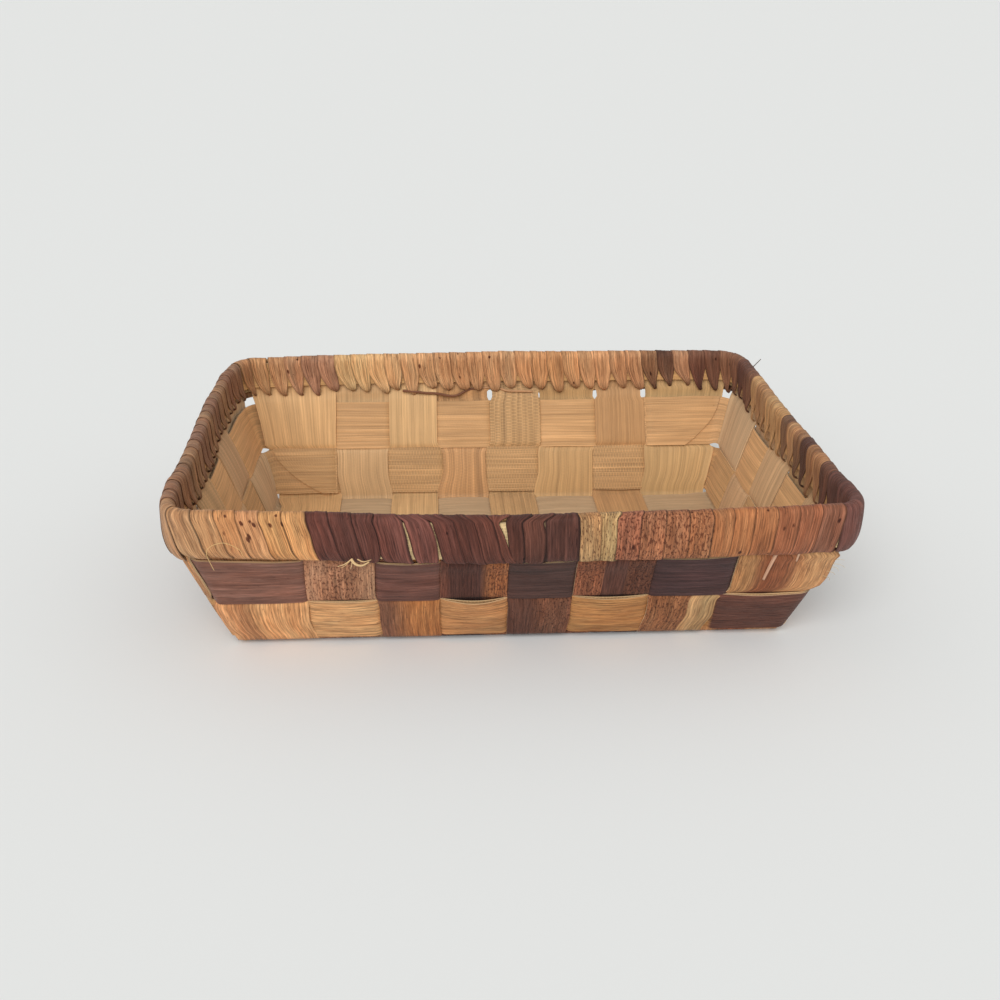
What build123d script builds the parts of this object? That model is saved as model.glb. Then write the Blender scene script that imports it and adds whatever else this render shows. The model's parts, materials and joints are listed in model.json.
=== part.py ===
from build123d import *
import math
import os

# Chip basket plaited from wide bark strips, with a hooped and lashed rim.
# Millimetres, +Z up. The origin is the centre of the underside, +X runs along the basket.

# Overall size, over the lashing on the straight sides
rim_length = 330.0
rim_depth = 226.0
basket_height = 88.0
wall_lean = 18.5

# Bark strips: each is an outer bark ply with a pale lining ply laid inside it
bark_ply = 0.6
lining_ply = 0.6
ply_gap = 0.15
weave_clearance = 0.3
strip_gap = 3.0
base_bend_radius = 5.0
base_corner_radius = 4.0
rim_corner_radius = 12.0
corner_margin = 1.0

# Widths of the strips across the floor, and of the lower weaver up the wall, as shares
cross_width_shares = [0.140, 0.119, 0.106, 0.122, 0.110, 0.140, 0.117, 0.146]
long_width_shares = [0.20, 0.20, 0.20, 0.20, 0.20]
lower_row_share = 0.453
tail_cut_slant = 14.0
tail_cut_inset = 9.0

# Rim: two flat hoops clamp the strip ends, a roll fills the top and a thin stick packs the back
hoop_clearance = 0.25
outer_hoop_thickness = 2.2
inner_hoop_thickness = 2.0
outer_hoop_width = 18.5
inner_hoop_width = 16.0
upright_width = 15.0
hoop_seam_gap = 0.6
roll_clearance = 0.3
roll_height = 1.9
roll_shoulder = 0.7
stick_radius = 0.8
stick_clearance = 0.5
stick_left_share = 0.30
stick_right_share = 0.14

# Lashing: bark strips wound round the rim and pulled through slits in the strip ends
lashing_thickness = 0.6
lashing_clearance = 0.4
lashing_crown_clearance = 0.2
lashing_turn_gap = 1.1
lashing_overhang = 4.0
weaver_clearance = 2.5
lining_overlap = 1.4
taper_length = 9.0
tongue_overhang = 2.0
tongue_width = 3.2
pierce_drop = 3.7
slit_clearance = 1.1
slit_height = 3.2

# Turns in each lashing strip, going round from the front left corner, anticlockwise from above
front_turns = [4, 9, 3, 2, 4, 6]
right_turns = [4, 7, 6, 6]
back_turns = [4, 8, 6, 6, 3, 2, 2]
left_turns = [7, 7, 6]

# How far along a turn has come at each station of its loop, from one slit to the next, as shares
turn_advance_shares = [0.0, 0.06, 0.18, 0.34, 0.41, 0.48, 0.54, 0.76, 0.94]

# Counts and worked-out sizes
weaver_rows = 2
side_count = 4
flat_tolerance = 0.0002
base_bend_steps = 3
weaver_corner_steps = 3
hoop_corner_steps = 4
strip_thickness = bark_ply + ply_gap + lining_ply
weave_swing = (strip_thickness + weave_clearance) / 2
floor_middle = weave_swing + strip_thickness / 2
lean = math.radians(wall_lean)
hoop_top = basket_height - lashing_thickness - lashing_crown_clearance - roll_height - roll_clearance
upright_height = hoop_top - upright_width
outer_hoop_low = hoop_top - outer_hoop_width
inner_hoop_low = hoop_top - inner_hoop_width
lashing_low = outer_hoop_low - lashing_overhang
tongue_height = inner_hoop_low - tongue_overhang
lashing_taper_height = tongue_height + taper_length
pierce_height = tongue_height - pierce_drop
stick_height = inner_hoop_low - stick_radius - stick_clearance
upper_weaver_high = lashing_low - weaver_clearance
lining_top = upper_weaver_high + lining_overlap
lower_weaver_low = floor_middle + base_bend_radius
weaver_span = upper_weaver_high - lower_weaver_low - strip_gap
lower_weaver_high = lower_weaver_low + lower_row_share * weaver_span
upper_weaver_low = lower_weaver_high + strip_gap
rim_build = strip_thickness / 2 + hoop_clearance
outer_hoop_face = rim_build + outer_hoop_thickness
inner_hoop_face = rim_build + inner_hoop_thickness
lashing_outside = outer_hoop_face + lashing_clearance + lashing_thickness / 2
lashing_inside = inner_hoop_face + lashing_clearance + lashing_thickness / 2
rim_half_length = rim_length / 2 - lashing_outside - lashing_thickness / 2
rim_half_depth = rim_depth / 2 - lashing_outside - lashing_thickness / 2
lean_run = (upright_height - floor_middle) * math.tan(lean)
base_half_length = rim_half_length - lean_run
base_half_depth = rim_half_depth - lean_run
strip_top = hoop_top - lashing_clearance

# The four sides, anticlockwise from the front: the way each runs and the way it faces
side_runs = [Vector(1, 0, 0), Vector(0, 1, 0), Vector(-1, 0, 0), Vector(0, -1, 0)]
side_faces = [Vector(0, -1, 0), Vector(1, 0, 0), Vector(0, 1, 0), Vector(-1, 0, 0)]
up = Vector(0, 0, 1)

os.makedirs("parts", exist_ok=True)


def write_part(solid, name):
    solid.label = name
    export_step(solid, "parts/" + name + ".step")


def skin(near_start, near_end, far_end, far_start):
    """One face where the four corners lie flat, two triangles on the short diagonal where twisted."""
    normal = (near_end - near_start).cross(far_end - near_start).normalized()
    if abs(normal.dot(far_start - near_start)) < flat_tolerance:
        corners = [[near_start, near_end, far_end, far_start]]
    elif (far_end - near_start).length < (far_start - near_end).length:
        corners = [[near_start, near_end, far_end], [near_start, far_end, far_start]]
    else:
        corners = [[near_start, near_end, far_start], [near_end, far_end, far_start]]
    return [Face(Wire.make_polygon(outline, close=True)) for outline in corners]


def ruled_strip(sections):
    """A solid skinned with straight edges from each section polygon to the next, and capped."""
    faces = [Face(Wire.make_polygon(section, close=True)) for section in (sections[0], sections[-1])]
    for near, far in zip(sections, sections[1:]):
        for corner in range(len(near)):
            faces += skin(near[corner - 1], near[corner], far[corner], far[corner - 1])
    return Solid(Shell(faces))


def ply_bounds(ply, centre):
    """The two faces of a ply, measured outwards from the middle of the wall."""
    if ply == "bark":
        return centre + ply_gap / 2, centre + ply_gap / 2 + bark_ply
    return centre - ply_gap / 2 - lining_ply, centre - ply_gap / 2


# The middle surface of the walls


def lean_back(height):
    """How far the wall at this height lies inside the upright part of the rim."""
    return max(upright_height - height, 0) * math.tan(lean)


def tilt_at(height):
    if height < upright_height:
        return lean
    return lean / 2 if height == upright_height else 0.0


def corner_radius_at(height):
    grown_share = (min(height, upright_height) - floor_middle) / (upright_height - floor_middle)
    return base_corner_radius + (rim_corner_radius - base_corner_radius) * grown_share


def corner_start(half_rim, height):
    """Where the flat part of a wall ends and its rounded corner begins."""
    return half_rim - lean_back(height) - corner_radius_at(height)


def half_sizes(side):
    """Half the rim's run along a side, and how far that side stands out, at the middle surface."""
    if side % 2 == 0:
        return rim_half_length, rim_half_depth
    return rim_half_depth, rim_half_length


def wall_point(side, along, height, offset):
    """A point of a flat wall: along its side, at a height, an offset out from its middle."""
    reach = half_sizes(side)[1] - lean_back(height) + offset * math.cos(tilt_at(height))
    rise = height - offset * math.sin(tilt_at(height))
    return side_runs[side] * along + side_faces[side] * reach + up * rise


def corner_point(side, turn_share, height, offset):
    """The same in the rounded corner that follows a side, from share 0 to share 1 of its turn."""
    half_run, half_face = half_sizes(side)
    radius = corner_radius_at(height)
    angle = math.radians(90) * turn_share
    heading = side_faces[side] * math.cos(angle) + side_runs[side] * math.sin(angle)
    centre_run = corner_start(half_run, height)
    centre_face = corner_start(half_face, height)
    centre = side_runs[side] * centre_run + side_faces[side] * centre_face
    reach = radius + offset * math.cos(tilt_at(height))
    return centre + heading * reach + up * (height - offset * math.sin(tilt_at(height)))


# Strip places across the floor


def strip_edges(width_shares, half_span):
    """The left and right edge of each strip, laid side by side with an even gap."""
    edges = []
    start = -half_span
    for share in width_shares:
        end = start + share * 2 * half_span
        edges.append((start + strip_gap / 2, end - strip_gap / 2))
        start = end
    return edges


floor_half_length = corner_start(rim_half_length, floor_middle) - corner_margin
floor_half_depth = corner_start(rim_half_depth, floor_middle) - corner_margin
cross_edges = strip_edges(cross_width_shares, floor_half_length + strip_gap / 2)
long_edges = strip_edges(long_width_shares, floor_half_depth + strip_gap / 2)
cross_count = len(cross_edges)
long_count = len(long_edges)


def stakes_on_side(side):
    """The edges of the upright strips met along a side, in the order they are met."""
    edges = [long_edges, cross_edges][side % 2 == 0]
    if side < 2:
        return edges
    return [(-right, -left) for left, right in reversed(edges)]


def stake_sign(perimeter_index, row):
    """Outside (1) or inside (-1) of the weaver, for a stake counted round from the front left."""
    return 1 if (perimeter_index + row) % 2 == 0 else -1


def floor_sign(cross_index, long_index):
    """Under (1) or on top (-1), for a cross strip where a long strip crosses it."""
    return -1 if (cross_index + long_index) % 2 == 0 else 1


# Upright strips: floor, two bends and two walls in one length


def half_stake(half_base, crossings, wall_signs, top):
    """Stations from the middle of the floor up one wall: reach, height, lean and weave offset."""
    stations = []
    for near, far, sign in crossings:
        stations.append((near, floor_middle, 0.0, sign * weave_swing))
        stations.append((far, floor_middle, 0.0, sign * weave_swing))
    floor_sign_last = crossings[-1][2]
    bend_angle = math.radians(90) - lean
    bend_tangent = base_bend_radius * math.tan(bend_angle / 2)
    bend_centre = half_base - bend_tangent
    for step in range(base_bend_steps + 1):
        share = step / base_bend_steps
        angle = bend_angle * share
        reach = bend_centre + base_bend_radius * math.sin(angle)
        height = floor_middle + base_bend_radius * (1 - math.cos(angle))
        offset = weave_swing * (floor_sign_last * (1 - share) + wall_signs[0] * share)
        stations.append((reach, height, angle, offset))
    wall_rows = [(lower_weaver_low, lower_weaver_high), (upper_weaver_low, upper_weaver_high)]
    for row in range(weaver_rows):
        for height in wall_rows[row]:
            reach = half_base + (height - floor_middle) * math.tan(lean)
            stations.append((reach, height, bend_angle, wall_signs[row] * weave_swing))
    rim_stations = [lining_top, upright_height, strip_top]
    for height in rim_stations:
        if height <= top:
            reach = half_base + lean_run - lean_back(height)
            stations.append((reach, height, math.radians(90) - tilt_at(height), 0.0))
    return stations


def stake_path(half_base, crossings, near_signs, far_signs, top):
    """All stations of an upright strip, from the top of its near wall to the top of its far one."""
    near_half = [(-far, -near, sign) for near, far, sign in reversed(crossings) if far < 0]
    far_half = [(near, far, sign) for near, far, sign in crossings if near > 0]
    middle = [crossing for crossing in crossings if crossing[0] <= 0 <= crossing[1]]
    if middle:
        near, far, sign = middle[0]
        near_half = [(0, -near, sign)] + near_half
        far_half = [(0, far, sign)] + far_half
    near_stations = half_stake(half_base, near_half, near_signs, top)
    far_stations = half_stake(half_base, far_half, far_signs, top)
    if middle:
        near_stations = near_stations[1:]
        far_stations = far_stations[1:]
    mirrored = [(-reach, height, -angle, offset) for reach, height, angle, offset in near_stations]
    return list(reversed(mirrored)) + far_stations


def stake_solid(ply, path, edges, half_rim, across_is_x):
    """One ply of an upright strip. Its outer edge follows the corner where it is a corner strip."""
    sections = []
    for reach, height, angle, offset in path:
        left, right = widened_edges(edges, half_rim, max(height, floor_middle))
        corners = []
        near_face, far_face = ply_bounds(ply, offset)
        for across, face in [(left, near_face), (right, near_face), (right, far_face), (left, far_face)]:
            run = reach + face * math.sin(angle)
            rise = height - face * math.cos(angle)
            corners.append(Vector(across, run, rise) if across_is_x else Vector(run, across, rise))
        sections.append(corners)
    return ruled_strip(sections)


# Weavers: one strip round each row, with its end lapped over its start at the back


def weaver_stations(row, start_index, over_first):
    """Stations of a weaver: its side, its place at the low and high edge, and its weave offset."""
    stakes = []
    for side in range(side_count):
        for number, edges in enumerate(stakes_on_side(side)):
            last = number == len(stakes_on_side(side)) - 1
            stakes.append((side, edges, number == 0, last))
    total = len(stakes)
    lap_offset = -(weave_swing + strip_thickness + ply_gap)
    stations = []
    for step in range(total + 1):
        index = (start_index + step) % total
        side, (left, right), first, last = stakes[index]
        offset = -stake_sign(index, row) * weave_swing
        lapped = step == 0 if over_first else step == total
        if lapped:
            offset = lap_offset
        if step > 0 and first:
            corner_offset = stations[-1][2]
            for corner_step in range(1, weaver_corner_steps):
                share = corner_step / weaver_corner_steps
                blended = corner_offset * (1 - share) + offset * share
                stations.append((side - 1, ("corner", share, share), blended))
        start_spot = ("flat", left, left)
        end_spot = ("flat", right, right)
        if first and step > 0:
            start_spot = ("corner", 1.0, 1.0)
            stations.append(((side - 1) % side_count, start_spot, offset))
        elif step == 0 and over_first:
            tail = left + tail_cut_inset
            stations.append((side, ("flat", tail + tail_cut_slant, tail), offset))
        else:
            stations.append((side, start_spot, offset))
        if last and step < total:
            stations.append((side, ("corner", 0.0, 0.0), offset))
        elif step == total and not over_first:
            tail = right - tail_cut_inset
            stations.append((side, ("flat", tail - tail_cut_slant, tail), offset))
        else:
            stations.append((side, end_spot, offset))
    return stations


def weaver_solid(ply, stations, low, high):
    sections = []
    for side, (kind, low_place, high_place), offset in stations:
        point = wall_point if kind == "flat" else corner_point
        near_face, far_face = ply_bounds(ply, offset)
        sections.append([
            point(side % side_count, low_place, low, near_face),
            point(side % side_count, low_place, low, far_face),
            point(side % side_count, high_place, high, far_face),
            point(side % side_count, high_place, high, near_face),
        ])
    return ruled_strip(sections)


# Rim line: the upright middle of the rim, travelled from the front left corner


def rim_lengths():
    """The straight run and the corner arc of each side, in the order they are travelled."""
    arc = math.radians(90) * rim_corner_radius
    return [(2 * (half_sizes(side)[0] - rim_corner_radius), arc) for side in range(side_count)]


rim_travel = sum(straight + arc for straight, arc in rim_lengths())


def rim_place(travel):
    """Point on the rim line, direction of travel, outward direction and depth into a corner."""
    travel = travel % rim_travel
    for side in range(side_count):
        straight, arc = rim_lengths()[side]
        half_run, half_face = half_sizes(side)
        run = side_runs[side]
        face = side_faces[side]
        if travel <= straight:
            along = travel - straight / 2
            return run * along + face * half_face, run, face, -min(travel, straight - travel)
        travel -= straight
        if travel < arc:
            angle = travel / rim_corner_radius
            outward = face * math.cos(angle) + run * math.sin(angle)
            heading = run * math.cos(angle) - face * math.sin(angle)
            centre = run * (half_run - rim_corner_radius) + face * (half_face - rim_corner_radius)
            return centre + outward * rim_corner_radius, heading, outward, min(travel, arc - travel)
        travel -= arc
    return rim_place(0)


def rim_shift(height, offset):
    """Offset from the upright rim line, and rise, of a point given from the leaning wall."""
    return offset * math.cos(tilt_at(height)) - lean_back(height), height - offset * math.sin(tilt_at(height))


def rim_point(travel, height, offset):
    place, heading, outward, depth = rim_place(travel)
    shift, rise = rim_shift(height, offset)
    return place + outward * shift + up * rise


def hoop_travels():
    """Travels at which a hoop needs a section, from its seam at the middle of the back."""
    lengths = rim_lengths()
    seam = lengths[0][0] + lengths[0][1] + lengths[1][0] + lengths[1][1] + lengths[2][0] / 2
    travels = [seam + hoop_seam_gap / 2]
    done = seam + lengths[2][0] / 2
    for side in [2, 3, 0, 1]:
        arc = lengths[side][1]
        travels += [done + arc * step / hoop_corner_steps for step in range(hoop_corner_steps + 1)]
        done += arc + lengths[(side + 1) % side_count][0]
    travels.append(seam + rim_travel - hoop_seam_gap / 2)
    return travels


def hoop_solid(section):
    """A hoop bent round the rim from a section given as height and offset pairs."""
    return ruled_strip([[rim_point(t, height, offset) for height, offset in section] for t in hoop_travels()])


# Lashing


turn_counts = front_turns + right_turns + back_turns + left_turns
turn_pitch = rim_travel / sum(turn_counts)
lashing_width = turn_pitch - lashing_turn_gap


def lashing_loop():
    """One turn: from its slit up the inside, over the top and down the outside of the rim."""
    roof = basket_height - lashing_thickness / 2
    shoulder = roof - roll_height - roll_clearance
    crown_out = outer_hoop_face - roll_shoulder
    crown_in = inner_hoop_face - roll_shoulder
    return [
        (pierce_height, 0.0, tongue_width),
        (tongue_height, -lashing_inside, tongue_width),
        (lashing_taper_height, -lashing_inside, lashing_width),
        (shoulder, -lashing_inside, lashing_width),
        (roof, -crown_in, lashing_width),
        (roof, crown_out, lashing_width),
        (shoulder, lashing_outside, lashing_width),
        (upright_height, lashing_outside, lashing_width),
        (lashing_low, lashing_outside, lashing_width),
    ]


print("lashing turns", sum(turn_counts), "pitch", round(turn_pitch, 2), "least gap", lashing_turn_gap)


def loop_normal(loop, index):
    """Unit normal of the lashing loop at a station, in the offset and rise plane."""
    before = rim_shift(*loop[index - 1][:2])
    here = rim_shift(*loop[index][:2])
    after = rim_shift(*loop[(index + 1) % len(loop)][:2])
    turned = []
    for start, end in [(before, here), (here, after)]:
        length = math.dist(start, end)
        turned.append(((end[1] - start[1]) / length, -(end[0] - start[0]) / length))
    sum_out = turned[0][0] + turned[1][0]
    sum_up = turned[0][1] + turned[1][1]
    squared = (sum_out ** 2 + sum_up ** 2) / 2
    return sum_out / squared, sum_up / squared


def lashing_solid(first_turn, turns):
    """One bark strip wound on as a helix, from its first tongue to outside below the rim."""
    loop = lashing_loop()
    sections = []
    for turn in range(turns):
        for index, (height, offset, width) in enumerate(loop):
            if turn == 0 and index == 0:
                continue
            advance_share = turn_advance_shares[index]
            place, heading, outward, depth = rim_place((first_turn + turn + advance_share) * turn_pitch)
            shift, rise = rim_shift(height, offset)
            normal_out, normal_up = loop_normal(loop, index)
            radius = rim_corner_radius + shift
            corner_share = min(max((depth + width / 2) / width, 0), 1)
            half_width = width / 2 * (1 + (radius / rim_corner_radius - 1) * corner_share)
            if offset < 0:
                overreach = min(max(depth + half_width, 0), half_width)
                shift -= overreach ** 2 / (2 * radius)
            half = heading * half_width
            middle = place + outward * shift + up * rise
            step = (outward * normal_out + up * normal_up) * (lashing_thickness / 2)
            near = middle - step
            far = middle + step
            sections.append([near - half, near + half, far + half, far - half])
    return ruled_strip(sections)


def slit_places():
    """Where each turn is pulled through the wall."""
    return [rim_point(turn * turn_pitch, pierce_height, 0.0) for turn in range(sum(turn_counts))]


def slit_cutter(place, across_is_x):
    width = tongue_width + 2 * slit_clearance
    depth = 2 * (strip_thickness + weave_swing)
    size = (width, depth, slit_height) if across_is_x else (depth, width, slit_height)
    return Pos(place.X, place.Y, place.Z) * Box(*size)


def widened_edges(edges, half_rim, height):
    """The edges of an upright strip at a height: a corner strip spreads out to its corner."""
    floor_limit = corner_start(half_rim, floor_middle) - corner_margin
    limit = corner_start(half_rim, height) - corner_margin
    left = -limit if abs(edges[0] + floor_limit) < strip_gap else edges[0]
    right = limit if abs(edges[1] - floor_limit) < strip_gap else edges[1]
    return left, right


def cut_slits(solid, edges, across_is_x):
    """Open the slits of every turn whose tongue passes through this strip."""
    half_rim = rim_half_length if across_is_x else rim_half_depth
    wall_from = base_half_depth if across_is_x else base_half_length
    left, right = widened_edges(edges, half_rim, upright_height)
    reach = tongue_width / 2 + slit_clearance + corner_margin
    cutters = []
    for place in slit_places():
        across, out = (place.X, place.Y) if across_is_x else (place.Y, place.X)
        if abs(out) > wall_from and left - reach < across < right + reach:
            cutters.append(slit_cutter(place, across_is_x))
    return solid.cut(*cutters) if cutters else solid


# Build and write every piece


for k, edges in enumerate(cross_edges):
    crossings = [(near, far, floor_sign(k, j)) for j, (near, far) in enumerate(long_edges)]
    signs = [stake_sign(k, row) for row in range(weaver_rows)]
    for ply, top in [("bark", strip_top), ("lining", lining_top)]:
        path = stake_path(base_half_depth, crossings, signs, signs, top)
        solid = stake_solid(ply, path, edges, rim_half_length, True)
        if ply == "bark":
            solid = cut_slits(solid, edges, True)
        write_part(solid, "cross_strip_" + str(k + 1) + "_" + ply)

for j, edges in enumerate(long_edges):
    crossings = [(left, right, -floor_sign(k, j)) for k, (left, right) in enumerate(cross_edges)]
    right_signs = [stake_sign(cross_count + j, row) for row in range(weaver_rows)]
    left_index = 2 * cross_count + 2 * long_count - 1 - j
    left_signs = [stake_sign(left_index, row) for row in range(weaver_rows)]
    for ply, top in [("bark", strip_top), ("lining", lining_top)]:
        path = stake_path(base_half_length, crossings, left_signs, right_signs, top)
        solid = stake_solid(ply, path, edges, rim_half_depth, False)
        if ply == "bark":
            solid = cut_slits(solid, edges, False)
        write_part(solid, "long_strip_" + str(j + 1) + "_" + ply)

back_right_index = cross_count + long_count
back_left_index = back_right_index + cross_count - 1
weavers = [
    ("lower_weaver", 0, lower_weaver_low, lower_weaver_high, back_left_index, False),
    ("upper_weaver", 1, upper_weaver_low, upper_weaver_high, back_right_index, True),
]
for name, row, low, high, start_index, over_first in weavers:
    stations = weaver_stations(row, start_index, over_first)
    for ply in ["bark", "lining"]:
        write_part(weaver_solid(ply, stations, low, high), name + "_" + ply)

outer_hoop = hoop_solid([
    (outer_hoop_low, rim_build),
    (upright_height, rim_build),
    (hoop_top, rim_build),
    (hoop_top, outer_hoop_face),
    (upright_height, outer_hoop_face),
    (outer_hoop_low, outer_hoop_face),
])
write_part(outer_hoop, "rim_outer_hoop")

inner_hoop = hoop_solid([
    (inner_hoop_low, -rim_build),
    (upright_height, -rim_build),
    (hoop_top, -rim_build),
    (hoop_top, -inner_hoop_face),
    (upright_height, -inner_hoop_face),
    (inner_hoop_low, -inner_hoop_face),
])
write_part(inner_hoop, "rim_inner_hoop")

roll_low = hoop_top + roll_clearance
roll_half = (outer_hoop_face + inner_hoop_face) / 2 - roll_clearance
roll_centre = (outer_hoop_face - inner_hoop_face) / 2
rim_roll = hoop_solid([
    (roll_low, roll_centre - roll_half),
    (roll_low, roll_centre + roll_half),
    (roll_low + roll_height / 2, roll_centre + roll_half - roll_shoulder),
    (roll_low + roll_height, roll_centre + roll_half - 3 * roll_shoulder),
    (roll_low + roll_height, roll_centre - roll_half + 3 * roll_shoulder),
    (roll_low + roll_height / 2, roll_centre - roll_half + roll_shoulder),
])
write_part(rim_roll, "rim_top_roll")

stick_offset = (rim_build + inner_hoop_face) / 2
stick_shift, stick_rise = rim_shift(stick_height, -stick_offset)
stick_start = Vector(-stick_left_share * rim_half_length, rim_half_depth + stick_shift, stick_rise)
stick_length = (stick_left_share + stick_right_share) * rim_half_length
stick = Solid.make_cylinder(stick_radius, stick_length, Plane(origin=stick_start, z_dir=(1, 0, 0)))
write_part(stick, "rim_back_stick")

turn = 0
sides = [("front", front_turns), ("right", right_turns), ("back", back_turns), ("left", left_turns)]
for side_name, counts in sides:
    for number, count in enumerate(counts):
        write_part(lashing_solid(turn, count), "lashing_" + side_name + "_" + str(number + 1))
        turn += count
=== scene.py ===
import bpy
import bmesh
import json
import random
from bisect import bisect_right
from math import atan, ceil, copysign, cos, pi, radians, sin, tan
from mathutils import Matrix, Vector, noise


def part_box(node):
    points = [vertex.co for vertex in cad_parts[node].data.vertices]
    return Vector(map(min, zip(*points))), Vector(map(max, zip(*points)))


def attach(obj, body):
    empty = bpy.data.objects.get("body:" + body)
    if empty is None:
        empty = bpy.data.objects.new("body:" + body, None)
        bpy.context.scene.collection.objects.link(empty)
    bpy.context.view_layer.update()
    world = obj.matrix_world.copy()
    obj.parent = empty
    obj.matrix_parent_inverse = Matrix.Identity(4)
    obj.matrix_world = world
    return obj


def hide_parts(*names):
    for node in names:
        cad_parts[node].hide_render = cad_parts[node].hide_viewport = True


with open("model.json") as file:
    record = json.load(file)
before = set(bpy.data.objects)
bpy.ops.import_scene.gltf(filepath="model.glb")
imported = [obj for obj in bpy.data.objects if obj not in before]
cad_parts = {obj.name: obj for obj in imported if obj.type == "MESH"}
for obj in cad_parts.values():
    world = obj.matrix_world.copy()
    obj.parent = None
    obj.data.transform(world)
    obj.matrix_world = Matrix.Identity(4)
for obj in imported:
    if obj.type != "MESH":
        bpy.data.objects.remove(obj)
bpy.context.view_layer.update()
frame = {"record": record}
print("frame loaded")

# Everything below is worked out in millimetres and turned to metres as a mesh is written
mm = 0.001

# The basket's own shape; its length and depth are read from the frame
shell = {
    "wallLean": radians(18.5),
    "floorMiddle": 1.5,
    "floorOverrun": 3.0,       # the floor's outer cells run this far past the outermost strips
    "bendRadius": 5.0,
    "baseCornerRadius": 4.0,
    "rimCornerRadius": 12.0,
    "uprightHeight": 70.0,
    "uprightEase": 5.0,
    "hoopStandout": 3.125,
    "cornerMargin": 1.0,
}
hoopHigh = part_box("rim_outer_hoop")[1]
halfLength = hoopHigh.x / mm - shell["hoopStandout"]
halfDepth = hoopHigh.y / mm - shell["hoopStandout"]
lean = shell["wallLean"]
upright = shell["uprightHeight"]
floorMiddle = shell["floorMiddle"]

# The four sides, anticlockwise from the front
sideRuns = [Vector((1, 0, 0)), Vector((0, 1, 0)), Vector((-1, 0, 0)), Vector((0, -1, 0))]
sideFaces = [Vector((0, -1, 0)), Vector((1, 0, 0)), Vector((0, 1, 0)), Vector((-1, 0, 0))]
upward = Vector((0, 0, 1))
seedStride = 7.31      # keeps the noise of two seeds apart


def clamp(value, low=0.0, high=1.0):
    return max(low, min(high, value))


def smooth(share):
    share = clamp(share)
    return share * share * (3 - 2 * share)


def mix(first, second, share):
    return first + (second - first) * share


def fade(value, start, over):
    # 0 up to the start, 1 from this far past it
    return smooth((value - start) / over)


def hill(value, middle, reach):
    # 1 at the middle, down to 0 at its reach on both sides
    return smooth(1 - abs(value - middle) / reach)


def wobble(x, y, seed):
    # smooth noise from -1 to 1, the same on every run
    return noise.noise(Vector((x, y, seed * seedStride)))


def leanBack(z):
    # how far the leaning wall lies inside the upright rim, with a soft bend between them
    ease = shell["uprightEase"]
    below = upright - z
    if below <= -ease:
        return 0.0
    if below < ease:
        return tan(lean) * (below + ease) ** 2 / (4 * ease)
    return tan(lean) * below


def tiltAt(z):
    ease = shell["uprightEase"]
    return atan(tan(lean) * clamp((upright - z + ease) / (2 * ease)))


def cornerRadius(z):
    grown = clamp((min(z, upright) - floorMiddle) / (upright - floorMiddle))
    return mix(shell["baseCornerRadius"], shell["rimCornerRadius"], grown)


def halfSizes(side):
    return (halfLength, halfDepth) if side % 2 == 0 else (halfDepth, halfLength)


def cornerStart(half, z):
    return half - leanBack(z) - cornerRadius(z)


def cornerSpot(side, angle, z, offset, way=None):
    # a point of the quarter turn at the end of a side; way is the direction that the side is left in
    way = sideRuns[side] if way is None else way
    halfRun, halfFace = halfSizes(side)
    tilt = tiltAt(z)
    heading = sideFaces[side] * cos(angle) + way * sin(angle)
    centre = way * cornerStart(halfRun, z) + sideFaces[side] * cornerStart(halfFace, z)
    return centre + heading * (cornerRadius(z) + offset * cos(tilt)) + upward * (z - offset * sin(tilt))


def wallSpot(side, along, z, offset, wrapShare=1.0):
    # a point of a wall; past the flat part it turns with the corner by wrapShare, and the rest runs straight
    halfRun, halfFace = halfSizes(side)
    over = abs(along) - cornerStart(halfRun, z)
    if over <= 0:
        tilt = tiltAt(z)
        reach = halfFace - leanBack(z) + offset * cos(tilt)
        return sideRuns[side] * along + sideFaces[side] * reach + upward * (z - offset * sin(tilt))
    way = sideRuns[side] * copysign(1, along)
    angle = over * wrapShare / cornerRadius(z)
    tangent = way * cos(angle) - sideFaces[side] * sin(angle)
    return cornerSpot(side, angle, z, offset, way) + tangent * (over * (1 - wrapShare))


# The rim line, travelled anticlockwise from the front left corner
rimArc = pi / 2 * shell["rimCornerRadius"]
rimStraights = [2 * (halfSizes(side)[0] - shell["rimCornerRadius"]) for side in range(4)]
rimTravel = sum(rimStraights) + 4 * rimArc


def rimSpot(travel, z, offset):
    travel = travel % rimTravel
    radius = shell["rimCornerRadius"]
    tilt = tiltAt(z)
    shift = offset * cos(tilt) - leanBack(z)
    rise = upward * (z - offset * sin(tilt))
    for side in range(4):
        halfRun, halfFace = halfSizes(side)
        if travel <= rimStraights[side]:
            along = travel - rimStraights[side] / 2
            return sideRuns[side] * along + sideFaces[side] * (halfFace + shift) + rise
        travel -= rimStraights[side]
        if travel < rimArc:
            angle = travel / radius
            heading = sideFaces[side] * cos(angle) + sideRuns[side] * sin(angle)
            centre = sideRuns[side] * (halfRun - radius) + sideFaces[side] * (halfFace - radius)
            return centre + heading * (radius + shift) + rise
        travel -= rimArc
    return rimSpot(0.0, z, offset)


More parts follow.
